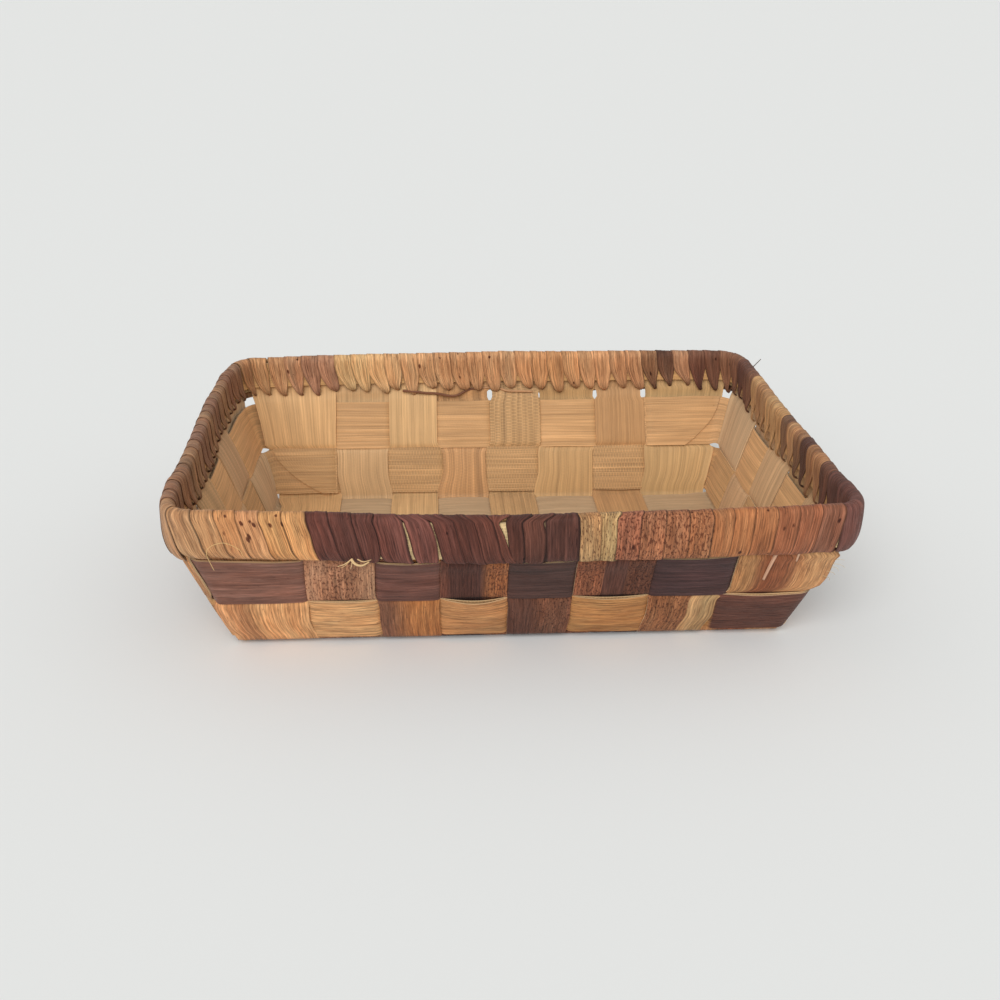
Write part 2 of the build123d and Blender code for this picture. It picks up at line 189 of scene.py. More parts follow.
# Hand-made unevenness: the rim is out of level and a little askew over its base.
# Each pair is a place along the rim and the shift there, in mm.
waves = {
    "frontRise": [(-154, -2.6), (-102, -4.4), (-47, -7.0), (-3, -7.8),
                  (37, -7.2), (78, -6.6), (113, -5.6), (150, -4.4)],
    "backRise": [(-150, 0.6), (-103, 2.3), (-69, 2.9), (-20, 3.5),
                 (13, 4.0), (65, 4.0), (132, 3.8), (160, 3.2)],
    "leftAside": [(-108, -0.6), (-100, -1.0), (-88, -2.6), (-75, -3.3), (-60, -2.1), (-45, -2.0), (-20, -2.4),
                  (10, -3.4), (36, -4.0), (60, -2.9), (80, -2.9), (92, -0.8), (102, 0.8)],
    "rightAside": [(-105, 3.4), (-90, 3.4), (-70, 1.5), (-35, 0.8), (0, -0.9), (30, -1.4), (60, -1.4),
                   (90, -1.8), (104, -3.2)],
    "lowRise": [(-30, 2.4), (0, 2.8), (50, 1.9), (120, 1.6), (290, 1.4), (320, 1.8), (350, 0.6)],
    "baseAside": [(-140, -1.2), (0, 0.8), (140, 1.75)],
    "inRim": (44.0, 19.0),                           # height where the rim's own rise sets in, and its reach
    "asideHeight": 80.0,                             # the rim's shift aside is whole from here up
    "rowTilt": 1.2, "tiltDepth": 90.0, "tiltFrom": 4.0, "tiltOver": 54.0,
    "tremor": 0.35, "tremorSize": 40.0,
    "ground": 0.02,                                  # nothing settles lower than this
}


def curveThrough(points, place):
    # a smooth line through places and values
    if place <= points[0][0]:
        return points[0][1]
    for near, far in zip(points, points[1:]):
        if place < far[0]:
            return mix(near[1], far[1], smooth((place - near[0]) / (far[0] - near[0])))
    return points[-1][1]


def settle(spot):
    x, y, z = spot
    depthShare = clamp((y + halfDepth) / (2 * halfDepth))
    lengthShare = clamp((x + halfLength) / (2 * halfLength))
    rise = mix(curveThrough(waves["frontRise"], x), curveThrough(waves["backRise"], x), depthShare)
    aside = mix(curveThrough(waves["leftAside"], y), curveThrough(waves["rightAside"], y), lengthShare)
    inRim = fade(z, *waves["inRim"])
    asideShare = clamp(z / waves["asideHeight"])
    inRow = sin(pi * clamp((z - waves["tiltFrom"]) / waves["tiltOver"]))
    z += waves["rowTilt"] * clamp(y / waves["tiltDepth"], -1, 1) * inRow
    z += inRim * (rise + waves["tremor"] * wobble(x / waves["tremorSize"], y / waves["tremorSize"], 3))
    x += mix(curveThrough(waves["baseAside"], x), aside, asideShare)
    return Vector((x, y, max(z, waves["ground"])))


# Strip places, read from the frame. Corner strips fan out towards their corner.
floorHalfLength = cornerStart(halfLength, floorMiddle) - shell["cornerMargin"]
floorHalfDepth = cornerStart(halfDepth, floorMiddle) - shell["cornerMargin"]
crossCount = 8
longCount = 5


def stripEdges(family, count, axis, limit):
    edges = []
    for number in range(count):
        low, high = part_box(family + "_strip_" + str(number + 1) + "_lining")
        edges.append([low[axis] / mm, high[axis] / mm])
    edges[0][0] = -limit
    edges[-1][1] = limit
    return edges


crossEdges = stripEdges("cross", crossCount, 0, floorHalfLength)
longEdges = stripEdges("long", longCount, 1, floorHalfDepth)


def middlesBetween(edges, limit):
    # the lines half way between neighbouring strips, with the two ends
    inner = [(edges[n][1] + edges[n + 1][0]) / 2 for n in range(len(edges) - 1)]
    return [-limit] + inner + [limit]


crossBounds = middlesBetween(crossEdges, floorHalfLength + shell["floorOverrun"])
longBounds = middlesBetween(longEdges, floorHalfDepth + shell["floorOverrun"])


def stakeSign(index, row):
    # 1 where an upright strip lies outside the weaver, counted round from the front left
    return 1 if (index + row) % 2 == 0 else -1


def floorSign(crossIndex, longIndex):
    # -1 where a cross strip lies on top of a long strip
    return -1 if (crossIndex + longIndex) % 2 == 0 else 1


# The seams between the front and back strips stand askew: shift in the lower and the upper row, from the left
seamShifts = {
    0: [(-3.3, -3.3), (-1.2, -3.0), (-0.7, -0.3), (0.0, -1.4), (1.4, 2.0), (2.0, 1.5), (4.4, 9.9)],
    2: [(-2.0, -3.2), (-2.5, -0.9), (4.3, 0.6), (-1.7, 2.5), (3.4, 5.2), (0.5, 3.9), (3.3, 4.1)],
}

seamLean = {"low": (2.0, 16.0), "high": (26.0, 9.0)}       # height where a shift sets in, and its reach


def seamShift(side, seam, z):
    low, high = seamShifts[side][seam]
    return mix(low * fade(z, *seamLean["low"]), high, fade(z, *seamLean["high"]))


# Where light shows through: slits at seams of the back, under the rim (width, low end, high end), and the
# small holes between the rows at the back corners
slits = {3: (3.4, 57.0, 64.0), 4: (1.4, 58.0, 62.5), 5: (2.8, 57.5, 63.5), 6: (4.0, 57.0, 65.0)}
slitPoint = 1.5        # length of a slit's pointed end
cornerHole = {"depth": 3.4, "height": (31.0, 2.4)}


def slitAt(seam, z):
    # how far each strip's edge stands back from its seam
    if seam not in slits:
        return 0.0
    width, low, high = slits[seam]
    return width / 2 * fade(z, low, slitPoint) * (1 - fade(z, high - slitPoint, slitPoint))


def holeAt(z):
    return cornerHole["depth"] * hill(z, *cornerHole["height"])


weave = {
    "barkPly": 0.5,
    "liningPly": 0.45,
    "plyGap": 0.06,
    "floorSwing": 0.8,
    "wallSwing": 0.98,
    "bulge": 0.55,
    "crown": 0.22,
    "ease": 2.6,             # half the length over which a strip dives under its neighbour
    "lap": 0.15,             # each strip's edge runs this far past the middle of the gap to the next
    "rowLow": [4.6, 30.65],
    "rowHigh": [31.0, 60.0],
    "topSway": [2.2, 0.0, -2.5, 0.0],      # the upper weaver's top edge on each side, from that height
    "cornerNotch": 1.5, "notchReach": 7.0,
    "cornerEase": 12.0,      # the weavers take up the lean of the corners over this length
    "rimFrom": 62.0,
    "stripTop": 83.5,
}
rowSplit = (weave["rowHigh"][0] + weave["rowLow"][1]) / 2
plyTotal = weave["barkPly"] + weave["liningPly"] + weave["plyGap"]
# thickness of each ply, and how far its outer face lies outside the strip's middle
plies = {
    "bark": (weave["barkPly"], plyTotal / 2),
    "lining": (weave["liningPly"], plyTotal / 2 - weave["barkPly"] - weave["plyGap"]),
}


def weaveAt(place, bounds, signs, sizes):
    # offset of a strip's middle: it swaps sides at each bound and bulges between them
    cell = int(clamp(bisect_right(bounds, place) - 1, 0, len(signs) - 1))
    level = signs[cell] * sizes[cell]
    nearest = min(range(1, len(bounds) - 1), key=lambda n: abs(place - bounds[n]), default=None)
    if nearest is not None and abs(place - bounds[nearest]) < weave["ease"]:
        share = smooth((place - bounds[nearest] + weave["ease"]) / (2 * weave["ease"]))
        level = mix(signs[nearest - 1] * sizes[nearest - 1], signs[nearest] * sizes[nearest], share)
    within = clamp((place - bounds[cell]) / (bounds[cell + 1] - bounds[cell]))
    return level, sin(pi * within), cell


# Colours and nodes


def colour(hexText):
    # an sRGB hex value as linear RGBA
    values = [int(hexText[n:n + 2], 16) / 255 for n in (1, 3, 5)]
    linear = [v / 12.92 if v <= 0.04045 else ((v + 0.055) / 1.055) ** 2.4 for v in values]
    return (*linear, 1.0)


def mixColours(first, second, share):
    return tuple(mix(a, b, share) for a, b in zip(first, second))


def shaded(base, shade):
    return (*(channel * shade for channel in base[:3]), 1.0)


def addNode(tree, kind, settings):
    # settings name inputs and properties; a node or a socket among them is linked
    node = tree.nodes.new("ShaderNode" + kind)
    for key, value in settings.items():
        if isinstance(value, bpy.types.Node):
            value = value.outputs[0]
        if isinstance(value, bpy.types.NodeSocket):
            tree.links.new(value, node.inputs[key])
        elif isinstance(key, int) or key in node.inputs:
            node.inputs[key].default_value = value
        else:
            setattr(node, key, value)
    return node


def newMaterial(name):
    material = bpy.data.materials.new(name)
    material.use_nodes = True
    material.node_tree.nodes.clear()
    return material, material.node_tree


def finishMaterial(tree, settings):
    shader = addNode(tree, "BsdfPrincipled", settings)
    addNode(tree, "OutputMaterial", {0: shader})


def stripInputs(tree):
    # the strip's own map in millimetres, its tint, and its marks: specks, ladder cells or dots, ribs
    uv = addNode(tree, "UVMap", {"uv_map": "strip"})
    place = addNode(tree, "VectorMath", {"operation": "SCALE", 0: uv, "Scale": 1 / mm})
    tint = addNode(tree, "Attribute", {"attribute_name": "tint"})
    marks = addNode(tree, "Attribute", {"attribute_name": "marks"})
    split = addNode(tree, "SeparateColor", {0: marks.outputs["Color"]})
    return place, tint.outputs["Color"], split.outputs


def drawnOut(tree, place, size, detail, roughness=0.5):
    # noise whose lumps are this many millimetres long and wide on the strip
    sized = addNode(tree, "VectorMath",
                    {"operation": "MULTIPLY", 0: place, 1: (1 / size[0], 1 / size[1], 1)})
    return addNode(tree, "TexNoise",
                   {"Scale": 1.0, "Detail": detail, "Roughness": roughness, "Vector": sized})


def toneNoise(tree, place, size, tones, by=None, detail=3.0, spread=0.22):
    # drawn-out noise as a factor between two tones, times another factor where one is given
    factor = addNode(tree, "MapRange", {
        "From Min": 0.5 - spread, "From Max": 0.5 + spread, "To Min": tones[0], "To Max": tones[1],
        "Value": drawnOut(tree, place, size, detail, 0.6)})
    if by is None:
        return factor
    return addNode(tree, "Math", {"operation": "MULTIPLY", 0: by, 1: factor})


def marked(tree, base, share, tone):
    # the base colour multiplied by a tone, by as much as the share says
    changed = addNode(tree, "VectorMath", {"operation": "MULTIPLY", 0: base, 1: tone})
    return addNode(tree, "Mix", {"data_type": "RGBA", 0: share, 6: base, 7: changed}).outputs[2]


def barkMaterial(name, look):
    material, tree = newMaterial(name)
    place, tint, marks = stripInputs(tree)
    fibre = toneNoise(tree, place, look["fibreSize"], look["fibreTones"], detail=2.0)
    grain = toneNoise(tree, place, look["grainSize"], look["grainTones"], by=fibre)
    blotch = toneNoise(tree, place, look["blotchSize"], look["blotchTones"], by=grain)
    base = addNode(tree, "VectorMath", {"operation": "SCALE", 0: tint, "Scale": blotch})
    # redder here, greyer there
    hue = toneNoise(tree, place, look["hueSize"], (0.0, 1.0))
    warm = addNode(tree, "Mix", {"data_type": "RGBA", 0: hue, 6: look["redder"], 7: look["greyer"]})
    base = addNode(tree, "VectorMath", {"operation": "MULTIPLY", 0: base, 1: warm.outputs[2]})
    # broad dark stains drawn out along the strip
    stains = toneNoise(tree, place, look["stainSize"], (0.0, look["stainStrength"]), spread=0.07)
    base = marked(tree, base, stains, look["stainTone"])
    # fine dark cracks and veins, where a noise passes its middle
    veinCloud = drawnOut(tree, place, look["veinSize"], 2.0, 0.6)
    fromMiddle = addNode(tree, "Math", {"operation": "SUBTRACT", 0: veinCloud, 1: 0.5})
    away = addNode(tree, "Math", {"operation": "ABSOLUTE", 0: fromMiddle})
    lines = addNode(tree, "MapRange", {
        "From Min": 0.0, "From Max": look["veinSpread"], "To Min": 1.0, "To Max": 0.0, "Value": away})
    veins = toneNoise(tree, place, look["veinPatch"], (0.0, look["veinStrength"]), by=lines)
    base = marked(tree, base, veins, look["speckTone"])
    # dark specks, more of them where the marks say so
    speckCloud = drawnOut(tree, place, look["speckSize"], 3.0, 0.65)
    low = addNode(tree, "Math", {
        "operation": "MULTIPLY_ADD", 0: marks[0], 1: look["speckGain"], 2: look["speckLimit"]})
    high = addNode(tree, "Math", {"operation": "ADD", 0: low, 1: look["speckEdge"]})
    specks = addNode(tree, "MapRange", {
        "From Min": low, "From Max": high, "To Max": look["speckStrength"], "Value": speckCloud})
    base = marked(tree, base, specks, look["speckTone"])
    # a few round dark dots, where leaf scars and mould left them
    swayed = addNode(tree, "VectorMath", {"operation": "ADD", 0: place, 1: speckCloud.outputs["Color"]})
    drawn = addNode(tree, "VectorMath", {"operation": "MULTIPLY", 0: swayed, 1: look["dotStretch"]})
    cells = addNode(tree, "TexVoronoi", {"Scale": 1 / look["dotSpacing"], "Vector": drawn})
    dots = addNode(tree, "MapRange", {
        "From Min": look["dotRim"], "From Max": look["dotCore"], "Value": cells.outputs["Distance"]})
    lot = addNode(tree, "SeparateColor", {0: cells.outputs["Color"]})
    dotShare = toneNoise(tree, place, look["dotPatch"], (0.0, 1.0), by=marks[1])
    chosen = addNode(tree, "Math", {"operation": "LESS_THAN", 0: lot, 1: dotShare})
    dotted = addNode(tree, "Math", {"operation": "MULTIPLY", 0: dots, 1: chosen})
    base = marked(tree, base, dotted, look["dotTone"])
    # light flecks between the dark ones, where dry skin lifts
    fleckCloud = drawnOut(tree, place, look["fleckSize"], 2.0)
    flecks = addNode(tree, "MapRange", {
        "From Min": look["fleckRim"], "From Max": look["fleckCore"], "To Max": look["fleckStrength"],
        "Value": fleckCloud})
    fleckShare = addNode(tree, "Math", {"operation": "MULTIPLY", 0: flecks, 1: marks[0]})
    base = marked(tree, base, fleckShare, look["fleckTone"])
    sunken = addNode(tree, "Math", {"operation": "ADD", 0: specks, 1: veins})
    relief = addNode(tree, "Math", {"operation": "SUBTRACT", 0: grain, 1: sunken})
    bump = addNode(tree, "Bump", {"Strength": look["bump"], "Distance": 0.35 * mm, "Height": relief})
    rough = addNode(tree, "MapRange", {
        "From Min": 0.7, "From Max": 1.2, "To Min": look["roughness"] + 0.1,
        "To Max": look["roughness"] - 0.06, "Value": fibre})
    finishMaterial(tree, {"Base Color": base, "Roughness": rough, "Normal": bump, "IOR": 1.45,
                          "Specular IOR Level": look["specular"], "Sheen Weight": 0.05})
    return material


def liningMaterial(name, look, paleHex=None):
    # with a pale colour it is a cut edge, about half its strip's tint and half pale
    material, tree = newMaterial(name)
    place, tint, marks = stripInputs(tree)
    if paleHex:
        pale = {"data_type": "RGBA", 0: look["paleShare"], 6: tint, 7: colour(paleHex)}
        tint = addNode(tree, "Mix", pale).outputs[2]
    silk = toneNoise(tree, place, look["silkSize"], look["silkTones"], detail=2.0)
    band = toneNoise(tree, place, look["bandSize"], look["bandTones"], by=silk)
    blotch = toneNoise(tree, place, look["blotchSize"], look["blotchTones"], by=band)
    # long pale ribs that stand up from the surface
    ribCloud = drawnOut(tree, place, (look["ribLength"], look["ribSpacing"]), 0.5)
    ribs = addNode(tree, "MapRange", {
        "From Min": look["ribRim"], "From Max": look["ribCore"], "Value": ribCloud})
    ribShare = addNode(tree, "Math", {"operation": "MULTIPLY", 0: ribs, 1: marks[2]})
    ribTone = addNode(tree, "MapRange", {"To Min": 1.0, "To Max": look["ribTone"], "Value": ribShare})
    # the ladder of air cells in the pith: long walls and short rungs
    sway = addNode(tree, "TexNoise", {"Scale": 0.35, "Detail": 1.0, "Vector": place})
    swayed = addNode(tree, "VectorMath", {
        "operation": "MULTIPLY_ADD", 0: sway.outputs["Color"], 1: look["sway"], 2: place})
    ladder = addNode(tree, "TexBrick", {
        "offset": 0.5, "Scale": 1.0, "Mortar Size": look["wallWidth"], "Mortar Smooth": 0.7,
        "Brick Width": look["rungSpacing"], "Row Height": look["ribSpacing"], "Vector": swayed})
    ladderShare = toneNoise(tree, place, look["ladderPatch"], (0.35, 1.0), by=marks[1])
    cellTone = addNode(tree, "MapRange", {
        "To Min": look["cellTone"], "To Max": look["wallTone"], "Value": ladder.outputs["Fac"]})
    laddered = addNode(tree, "Mix", {"data_type": "FLOAT", 0: ladderShare, 2: 1.0, 3: cellTone})
    shade = blotch
    for factor in (laddered, ribTone):
        shade = addNode(tree, "Math", {"operation": "MULTIPLY", 0: shade, 1: factor})
    base = addNode(tree, "VectorMath", {"operation": "SCALE", 0: tint, "Scale": shade})
    # small brown flecks where the pith was bruised
    fleckCloud = drawnOut(tree, place, look["fleckSize"], 1.0)
    flecks = addNode(tree, "MapRange", {
        "From Min": look["fleckRim"], "From Max": look["fleckCore"], "To Max": look["fleckStrength"],
        "Value": fleckCloud})
    flecked = marked(tree, base, flecks, look["fleckTone"])
    raised = addNode(tree, "Math", {"operation": "MULTIPLY", 0: silk, 1: ribTone})
    relief = addNode(tree, "Math", {"operation": "ADD", 0: laddered, 1: raised})
    bump = addNode(tree, "Bump", {"Strength": look["bump"], "Distance": 0.4 * mm, "Height": relief})
    rough = addNode(tree, "MapRange", {
        "From Min": 0.9, "From Max": 1.1, "To Min": 0.62, "To Max": 0.48, "Value": silk})
    finishMaterial(tree, {"Base Color": flecked, "Roughness": rough, "Normal": bump, "IOR": 1.45,
                          "Specular IOR Level": 0.35, "Sheen Weight": 0.08})
    return material


# Sizes are the length and width of a mark on the strip, in mm; tones multiply the strip's own tint
barkLook = {
    "grainSize": (34.0, 0.8), "grainTones": (0.56, 1.38),
    "fibreSize": (9.0, 0.5), "fibreTones": (0.64, 1.32),     # real fibres are finer than the render shows
    "blotchSize": (26.0, 10.4), "blotchTones": (0.86, 1.13),
    "hueSize": (30.0, 9.0), "redder": (1.07, 0.97, 0.90, 1), "greyer": (0.94, 1.02, 1.07, 1),
    "stainSize": (24.0, 3.2), "stainStrength": 0.5, "stainTone": (0.62, 0.54, 0.50),
    "veinSize": (30.0, 2.2), "veinSpread": 0.014, "veinStrength": 0.8, "veinPatch": (12.0, 6.0),
    "speckSize": (2.0, 0.9), "speckTone": (0.40, 0.30, 0.28), "speckStrength": 0.95,
    "speckLimit": 0.77, "speckGain": -0.25, "speckEdge": 0.05,
    "fleckSize": (2.0 / 1.2, 0.9 / 1.2), "fleckTone": (1.5, 1.5, 1.45),
    "fleckRim": 0.38, "fleckCore": 0.28, "fleckStrength": 0.5,
    "dotSpacing": 5.0, "dotStretch": (0.7, 1.0, 1.0), "dotRim": 0.20, "dotCore": 0.12,
    "dotPatch": (25.0, 12.0), "dotTone": (0.22, 0.14, 0.13),
    "bump": 0.6, "roughness": 0.62, "specular": 0.22,
}
smoothBarkLook = {
    **barkLook, "grainSize": (60.0, 0.9), "grainTones": (0.60, 1.36), "fibreTones": (0.72, 1.24),
    "stainStrength": 0.7, "stainSize": (45.0, 4.0), "bump": 0.35, "roughness": 0.52, "specular": 0.28,
}
lashLook = {
    **barkLook, "grainSize": (26.0, 0.7), "stainSize": (16.0, 2.2), "stainStrength": 0.55,
    "veinSize": (30.0, 1.6), "veinStrength": 0.95, "veinSpread": 0.018, "roughness": 0.56, "bump": 0.8,
}
ladderLook = {
    "ribSpacing": 2.9, "ribLength": 400.0, "ribTone": 1.2, "ribRim": 0.55, "ribCore": 0.62,
    "rungSpacing": 1.8, "wallWidth": 0.42, "cellTone": 0.72, "wallTone": 1.12,
    "sway": (0.9, 0.25, 0), "ladderPatch": (30.0, 7.0),
    "silkSize": (60.0, 0.7), "silkTones": (0.78, 1.17), "bandSize": (90.0, 2.6), "bandTones": (0.83, 1.12),
    "blotchSize": (22.0, 14.0), "blotchTones": (0.94, 1.05),
    "fleckSize": (2.4, 0.9), "fleckTone": (0.55, 0.45, 0.38), "fleckRim": 0.76, "fleckCore": 0.82,
    "fleckStrength": 0.6, "bump": 0.9,
}
cutLook = {**ladderLook, "bump": 0.1, "cellTone": 1.0, "wallTone": 1.0, "paleShare": 0.55}

# Banana-stem bark, sun dried and cut by hand: dull, dark specks, lengthways grain
speckledBark = barkMaterial("driedBarkSpeckled", barkLook)
# The same bark from the inner leaves: darker, smoother, with a faint satin shine
smoothBark = barkMaterial("driedBarkSmooth", smoothBarkLook)
# Thin bark for winding: creased, finer grained
windingBark = barkMaterial("driedBarkWinding", lashLook)
# The pale pith side: silky, with a ladder of air cells
pithLining = liningMaterial("paleBarkPith", ladderLook)
# Cut edges show pith
cutEdge = liningMaterial("cutBarkEdge", cutLook, "#E2C79C")
print("materials made")


# Strips as grids that are bent into place


def evenSteps(start, end, step):
    count = max(1, ceil(abs(end - start) / step))
    return [mix(start, end, n / count) for n in range(count + 1)]


def withStops(steps, stops, width):
    # adds a close pair of steps at each stop, so that a seam there is crisp
    extra = [stop + side * width for stop in stops for side in (-1, 1)]
    return sorted(steps + extra)


def bendGrid(rows, columns, corner):
    # a grid placed corner by corner: corner gives the point, its place on the strip, tint and marks
    bm = bmesh.new()
    tintLayer = bm.verts.layers.float_color.new("tint")
    markLayer = bm.verts.layers.float_color.new("marks")
    mapLayer = bm.verts.layers.float_vector.new("stripPlace")
    bmesh.ops.create_grid(bm, x_segments=rows, y_segments=columns, size=0.5)
    for vert in bm.verts:
        spot, along, across, (tint, marks) = corner(round((vert.co.x + 0.5) * rows),
                                                    round((vert.co.y + 0.5) * columns))
        vert[mapLayer] = (along * mm, across * mm, 0)
        vert[tintLayer] = tint
        vert[markLayer] = (*marks, 1.0)
        vert.co = spot * mm
    return bm, mapLayer


def mapFaces(bm, mapLayer):
    uvLayer = bm.loops.layers.uv.new("strip")
    for face in bm.faces:
        face.smooth = True
        for loop in face.loops:
            loop[uvLayer].uv = loop.vert[mapLayer].xy


def newObject(bm, name, materials):
    mesh = bpy.data.meshes.new(name)
    bm.to_mesh(mesh)
    bm.free()
    for material in materials:
        mesh.materials.append(material)
    made = bpy.data.objects.new(name, mesh)
    bpy.context.scene.collection.objects.link(made)
    return made


def addPiece(bm, mapLayer, name, materials, nodes, slotName):
    bm.verts.layers.float_vector.remove(mapLayer)
    piece = newObject(bm, name, materials)
    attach(piece, "root")
    if nodes:
        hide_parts(*nodes)


def outwards(spot):
    return Vector((spot.x / halfLength, spot.y / halfDepth, 0))


def inwards(spot):
    return -outwards(spot)


def downwards(spot):
    return -upward


sheetMaking = {"mapSpread": 900, "probeStep": 0.5, "sharpAngle": radians(40), "sameSpot": 1e-9}


def makeSheet(name, alongSteps, acrossSteps, place, tone, thickness, materials, node, slotName, seed,
              facing=outwards, probe=None):
    # bends a grid: place gives a point, tone gives tint and marks; then the sheet gets its thickness.
    # The grid is turned over where it would face the wrong way at its middle, or at the probe.
    a, b = probe or (alongSteps[len(alongSteps) // 2], acrossSteps[len(acrossSteps) // 2])
    step = sheetMaking["probeStep"]
    normal = (place(a + step, b) - place(a - step, b)).cross(place(a, b + step) - place(a, b - step))
    if normal.dot(facing(place(a, b))) < 0:
        acrossSteps = acrossSteps[::-1]
    shift = random.Random(seed).uniform(0, sheetMaking["mapSpread"])

    def corner(row, column):
        along, across = alongSteps[row], acrossSteps[column]
        return settle(place(along, across)), along + shift, across + shift, tone(along, across)

    bm, mapLayer = bendGrid(len(alongSteps) - 1, len(acrossSteps) - 1, corner)
    bm.normal_update()
    bmesh.ops.solidify(bm, geom=bm.faces[:], thickness=thickness * mm)
    mapFaces(bm, mapLayer)
    for face in bm.faces:
        # a face of the cut edge has two corners on the same spot of the strip
        places = [vert[mapLayer] for vert in face.verts]
        if any((here - other).length < sheetMaking["sameSpot"]
               for n, here in enumerate(places) for other in places[n + 1:]):
            face.material_index = len(materials) - 1
    for edge in bm.edges:
        if edge.is_manifold and edge.calc_face_angle(0) > sheetMaking["sharpAngle"]:
            edge.smooth = False
    addPiece(bm, mapLayer, name, materials, [node], slotName)


def bandTone(bands, share, blend):
    # the tint and marks of a strip made of bands side by side: (end share, hex, specks)
    for number, (end, hexText, specks) in enumerate(bands):
        if share <= end or number == len(bands) - 1:
            here = (colour(hexText), specks)
            if number + 1 < len(bands) and share > end - blend:
                after = bands[number + 1]
                part = (share - end + blend) / (2 * blend)
                return mixColours(here[0], colour(after[1]), part), mix(specks, after[2], part)
            if number > 0 and share < bands[number - 1][0] + blend:
                before = bands[number - 1]
                part = 0.5 + (share - before[0]) / (2 * blend)
                return mixColours(colour(before[1]), here[0], part), mix(before[2], specks, part)
            return here


# Upright strips: how far the bands blend, and the bands from the left edge (end share, hex, specks)
crossBark = [
    (0.05, [(0.22, "#D09667", 0.3), (0.36, "#AA7650", 0.4), (1.0, "#D8A16E", 0.25)]),
    (0.12, [(0.3, "#BC8968", 0.85), (0.75, "#A67456", 1.0), (1.0, "#B08465", 0.8)]),
    (0.2, [(0.35, "#8A5F49", 0.6), (1.0, "#B27646", 0.5)]),
    (0.04, [(0.12, "#6A4032", 0.5), (0.66, "#52322A", 0.4), (1.0, "#A0653F", 1.0)]),
    (0.12, [(0.45, "#5E3D31", 0.6), (1.0, "#7A4F3A", 0.9)]),
    (0.01, [(0.36, "#945C40", 1.0), (0.66, "#603C31", 0.15), (1.0, "#68402F", 1.0)]),
    (0.01, [(0.6, "#9C6845", 0.9), (0.78, "#C49A6C", 0.35), (1.0, "#B48E62", 0.3)]),
    (0.06, [(0.22, "#B58254", 0.35), (0.62, "#94593A", 0.3), (1.0, "#CC9868", 0.25)]),
]
longBark = [
    (0.1, [(0.4, "#B98453", 0.5), (1.0, "#A87248", 0.4)]),
    (0.1, [(1.0, "#8A6048", 0.9)]),
    (0.03, [(0.55, "#6A4A3E", 0.4), (1.0, "#A06C48", 0.8)]),
    (0.1, [(1.0, "#BA8452", 0.5)]),
    (0.08, [(0.3, "#74503E", 0.5), (1.0, "#94684A", 0.7)]),
]
# Pith side of the same strips: hex, ladder, ribs, and the seams where a strip is two narrow ones side by side
crossLining = [
    ("#D6AA76", 0.0, 0.35, []),
    ("#CBA476", 0.1, 0.6, []),
    ("#D2AA78", 0.0, 0.6, []),
    ("#BE9062", 0.3, 1.0, [0.82]),
    ("#C39B6C", 0.85, 0.9, [0.3]),
    ("#C29A69", 0.1, 0.5, []),
    ("#BC9062", 0.0, 0.4, []),
    ("#C19C6B", 0.0, 0.3, []),
]
longLining = [
    ("#BA9770", 0.2, 0.4, []),
    ("#B69268", 0.5, 0.5, []),
    ("#BC9972", 0.0, 0.6, []),
    ("#B89570", 0.3, 0.5, []),
    ("#BC9F7C", 0.0, 0.3, []),
]

bendAngle = pi / 2 - lean
bendTangent = shell["bendRadius"] * tan(bendAngle / 2)
bendRise = shell["bendRadius"] * (1 - cos(bendAngle))


class Upright:
    # the path of an upright strip from the middle of the floor to the rim
    def __init__(self, halfRim):
        self.halfRim = halfRim
        self.flat = halfRim - leanBack(floorMiddle) - bendTangent
        self.wallFrom = self.flat + shell["bendRadius"] * bendAngle

    def station(self, way):
        # reach, height and lean of the path at a distance along it
        if way <= self.flat:
            return way, floorMiddle, 0.0
        if way < self.wallFrom:
            angle = (way - self.flat) / shell["bendRadius"]
            radius = shell["bendRadius"]
            return self.flat + radius * sin(angle), floorMiddle + radius * (1 - cos(angle)), angle
        z = floorMiddle + bendRise + (way - self.wallFrom) * cos(lean)
        return self.halfRim - leanBack(z), z, pi / 2 - tiltAt(z)

    def wayAt(self, z):
        return self.wallFrom + (z - floorMiddle - bendRise) / cos(lean)


# How far round the corner a corner strip reaches, as shares of the quarter turn: lower row, upper row
cornerWraps = {
    ("cross", False, True): [0.5, 0.2],
    ("long", False, True): [0.2, 0.68],
    ("cross", True, True): [0.3, 0.3],
    ("long", False, False): [0.06, 0.2],
}
# The outermost front strip runs free of the right corner: its edge at each height
freeEdge = [(28, 140.5), (31.3, 143.5), (35.8, 150.9), (40, 152.4), (46.1, 153.0), (54.4, 153.2), (60, 156.0)]
freeSpan = {"low": (26.0, 5.0), "high": (57.0, 5.0), "wrap": 0.12}
# Where the outer edge of a corner strip lies: its reach on the floor, and the heights at which it goes over
# to its wraps, from the lower row's to the upper row's, and turns with the corner
cornerEdge = {"floorReach": 2.2, "floorEase": 14.0, "wrap": (6.0, 6.0), "upperRow": (25.0, 12.0),
              "turn": (6.0, 4.0)}
usualWraps = [0.5, 0.3]
ragged = {"wave": 0.35, "waveSize": 14.0, "nick": 0.12, "nickSize": 2.5, "sway": 0.15, "swaySize": 20.0}
# Grooves where bands meet on the bark, and ridges where two narrow strips meet on the pith side
groove = {"crispBlend": 0.03, "depth": 0.28, "ridge": 0.3, "reach": 0.03, "darkReach": 0.02, "dark": 0.5}
uprightSteps = {"along": 1.6, "across": 1 / 12, "seam": 0.012}
# Painted light: the pith of the side walls is drawn paler
liningWave = {"shade": 0.05, "size": 40.0, "sideWallLight": 0.22, "sideEase": 6.0}


def inFreeSpan(z):
    return fade(z, *freeSpan["low"]) * (1 - fade(z, *freeSpan["high"]))


def ridgeAt(share, places, height):
    # how far narrow ridges at these places stand up
    return sum(height * max(0.0, 1 - abs(share - place) / groove["reach"]) for place in places)


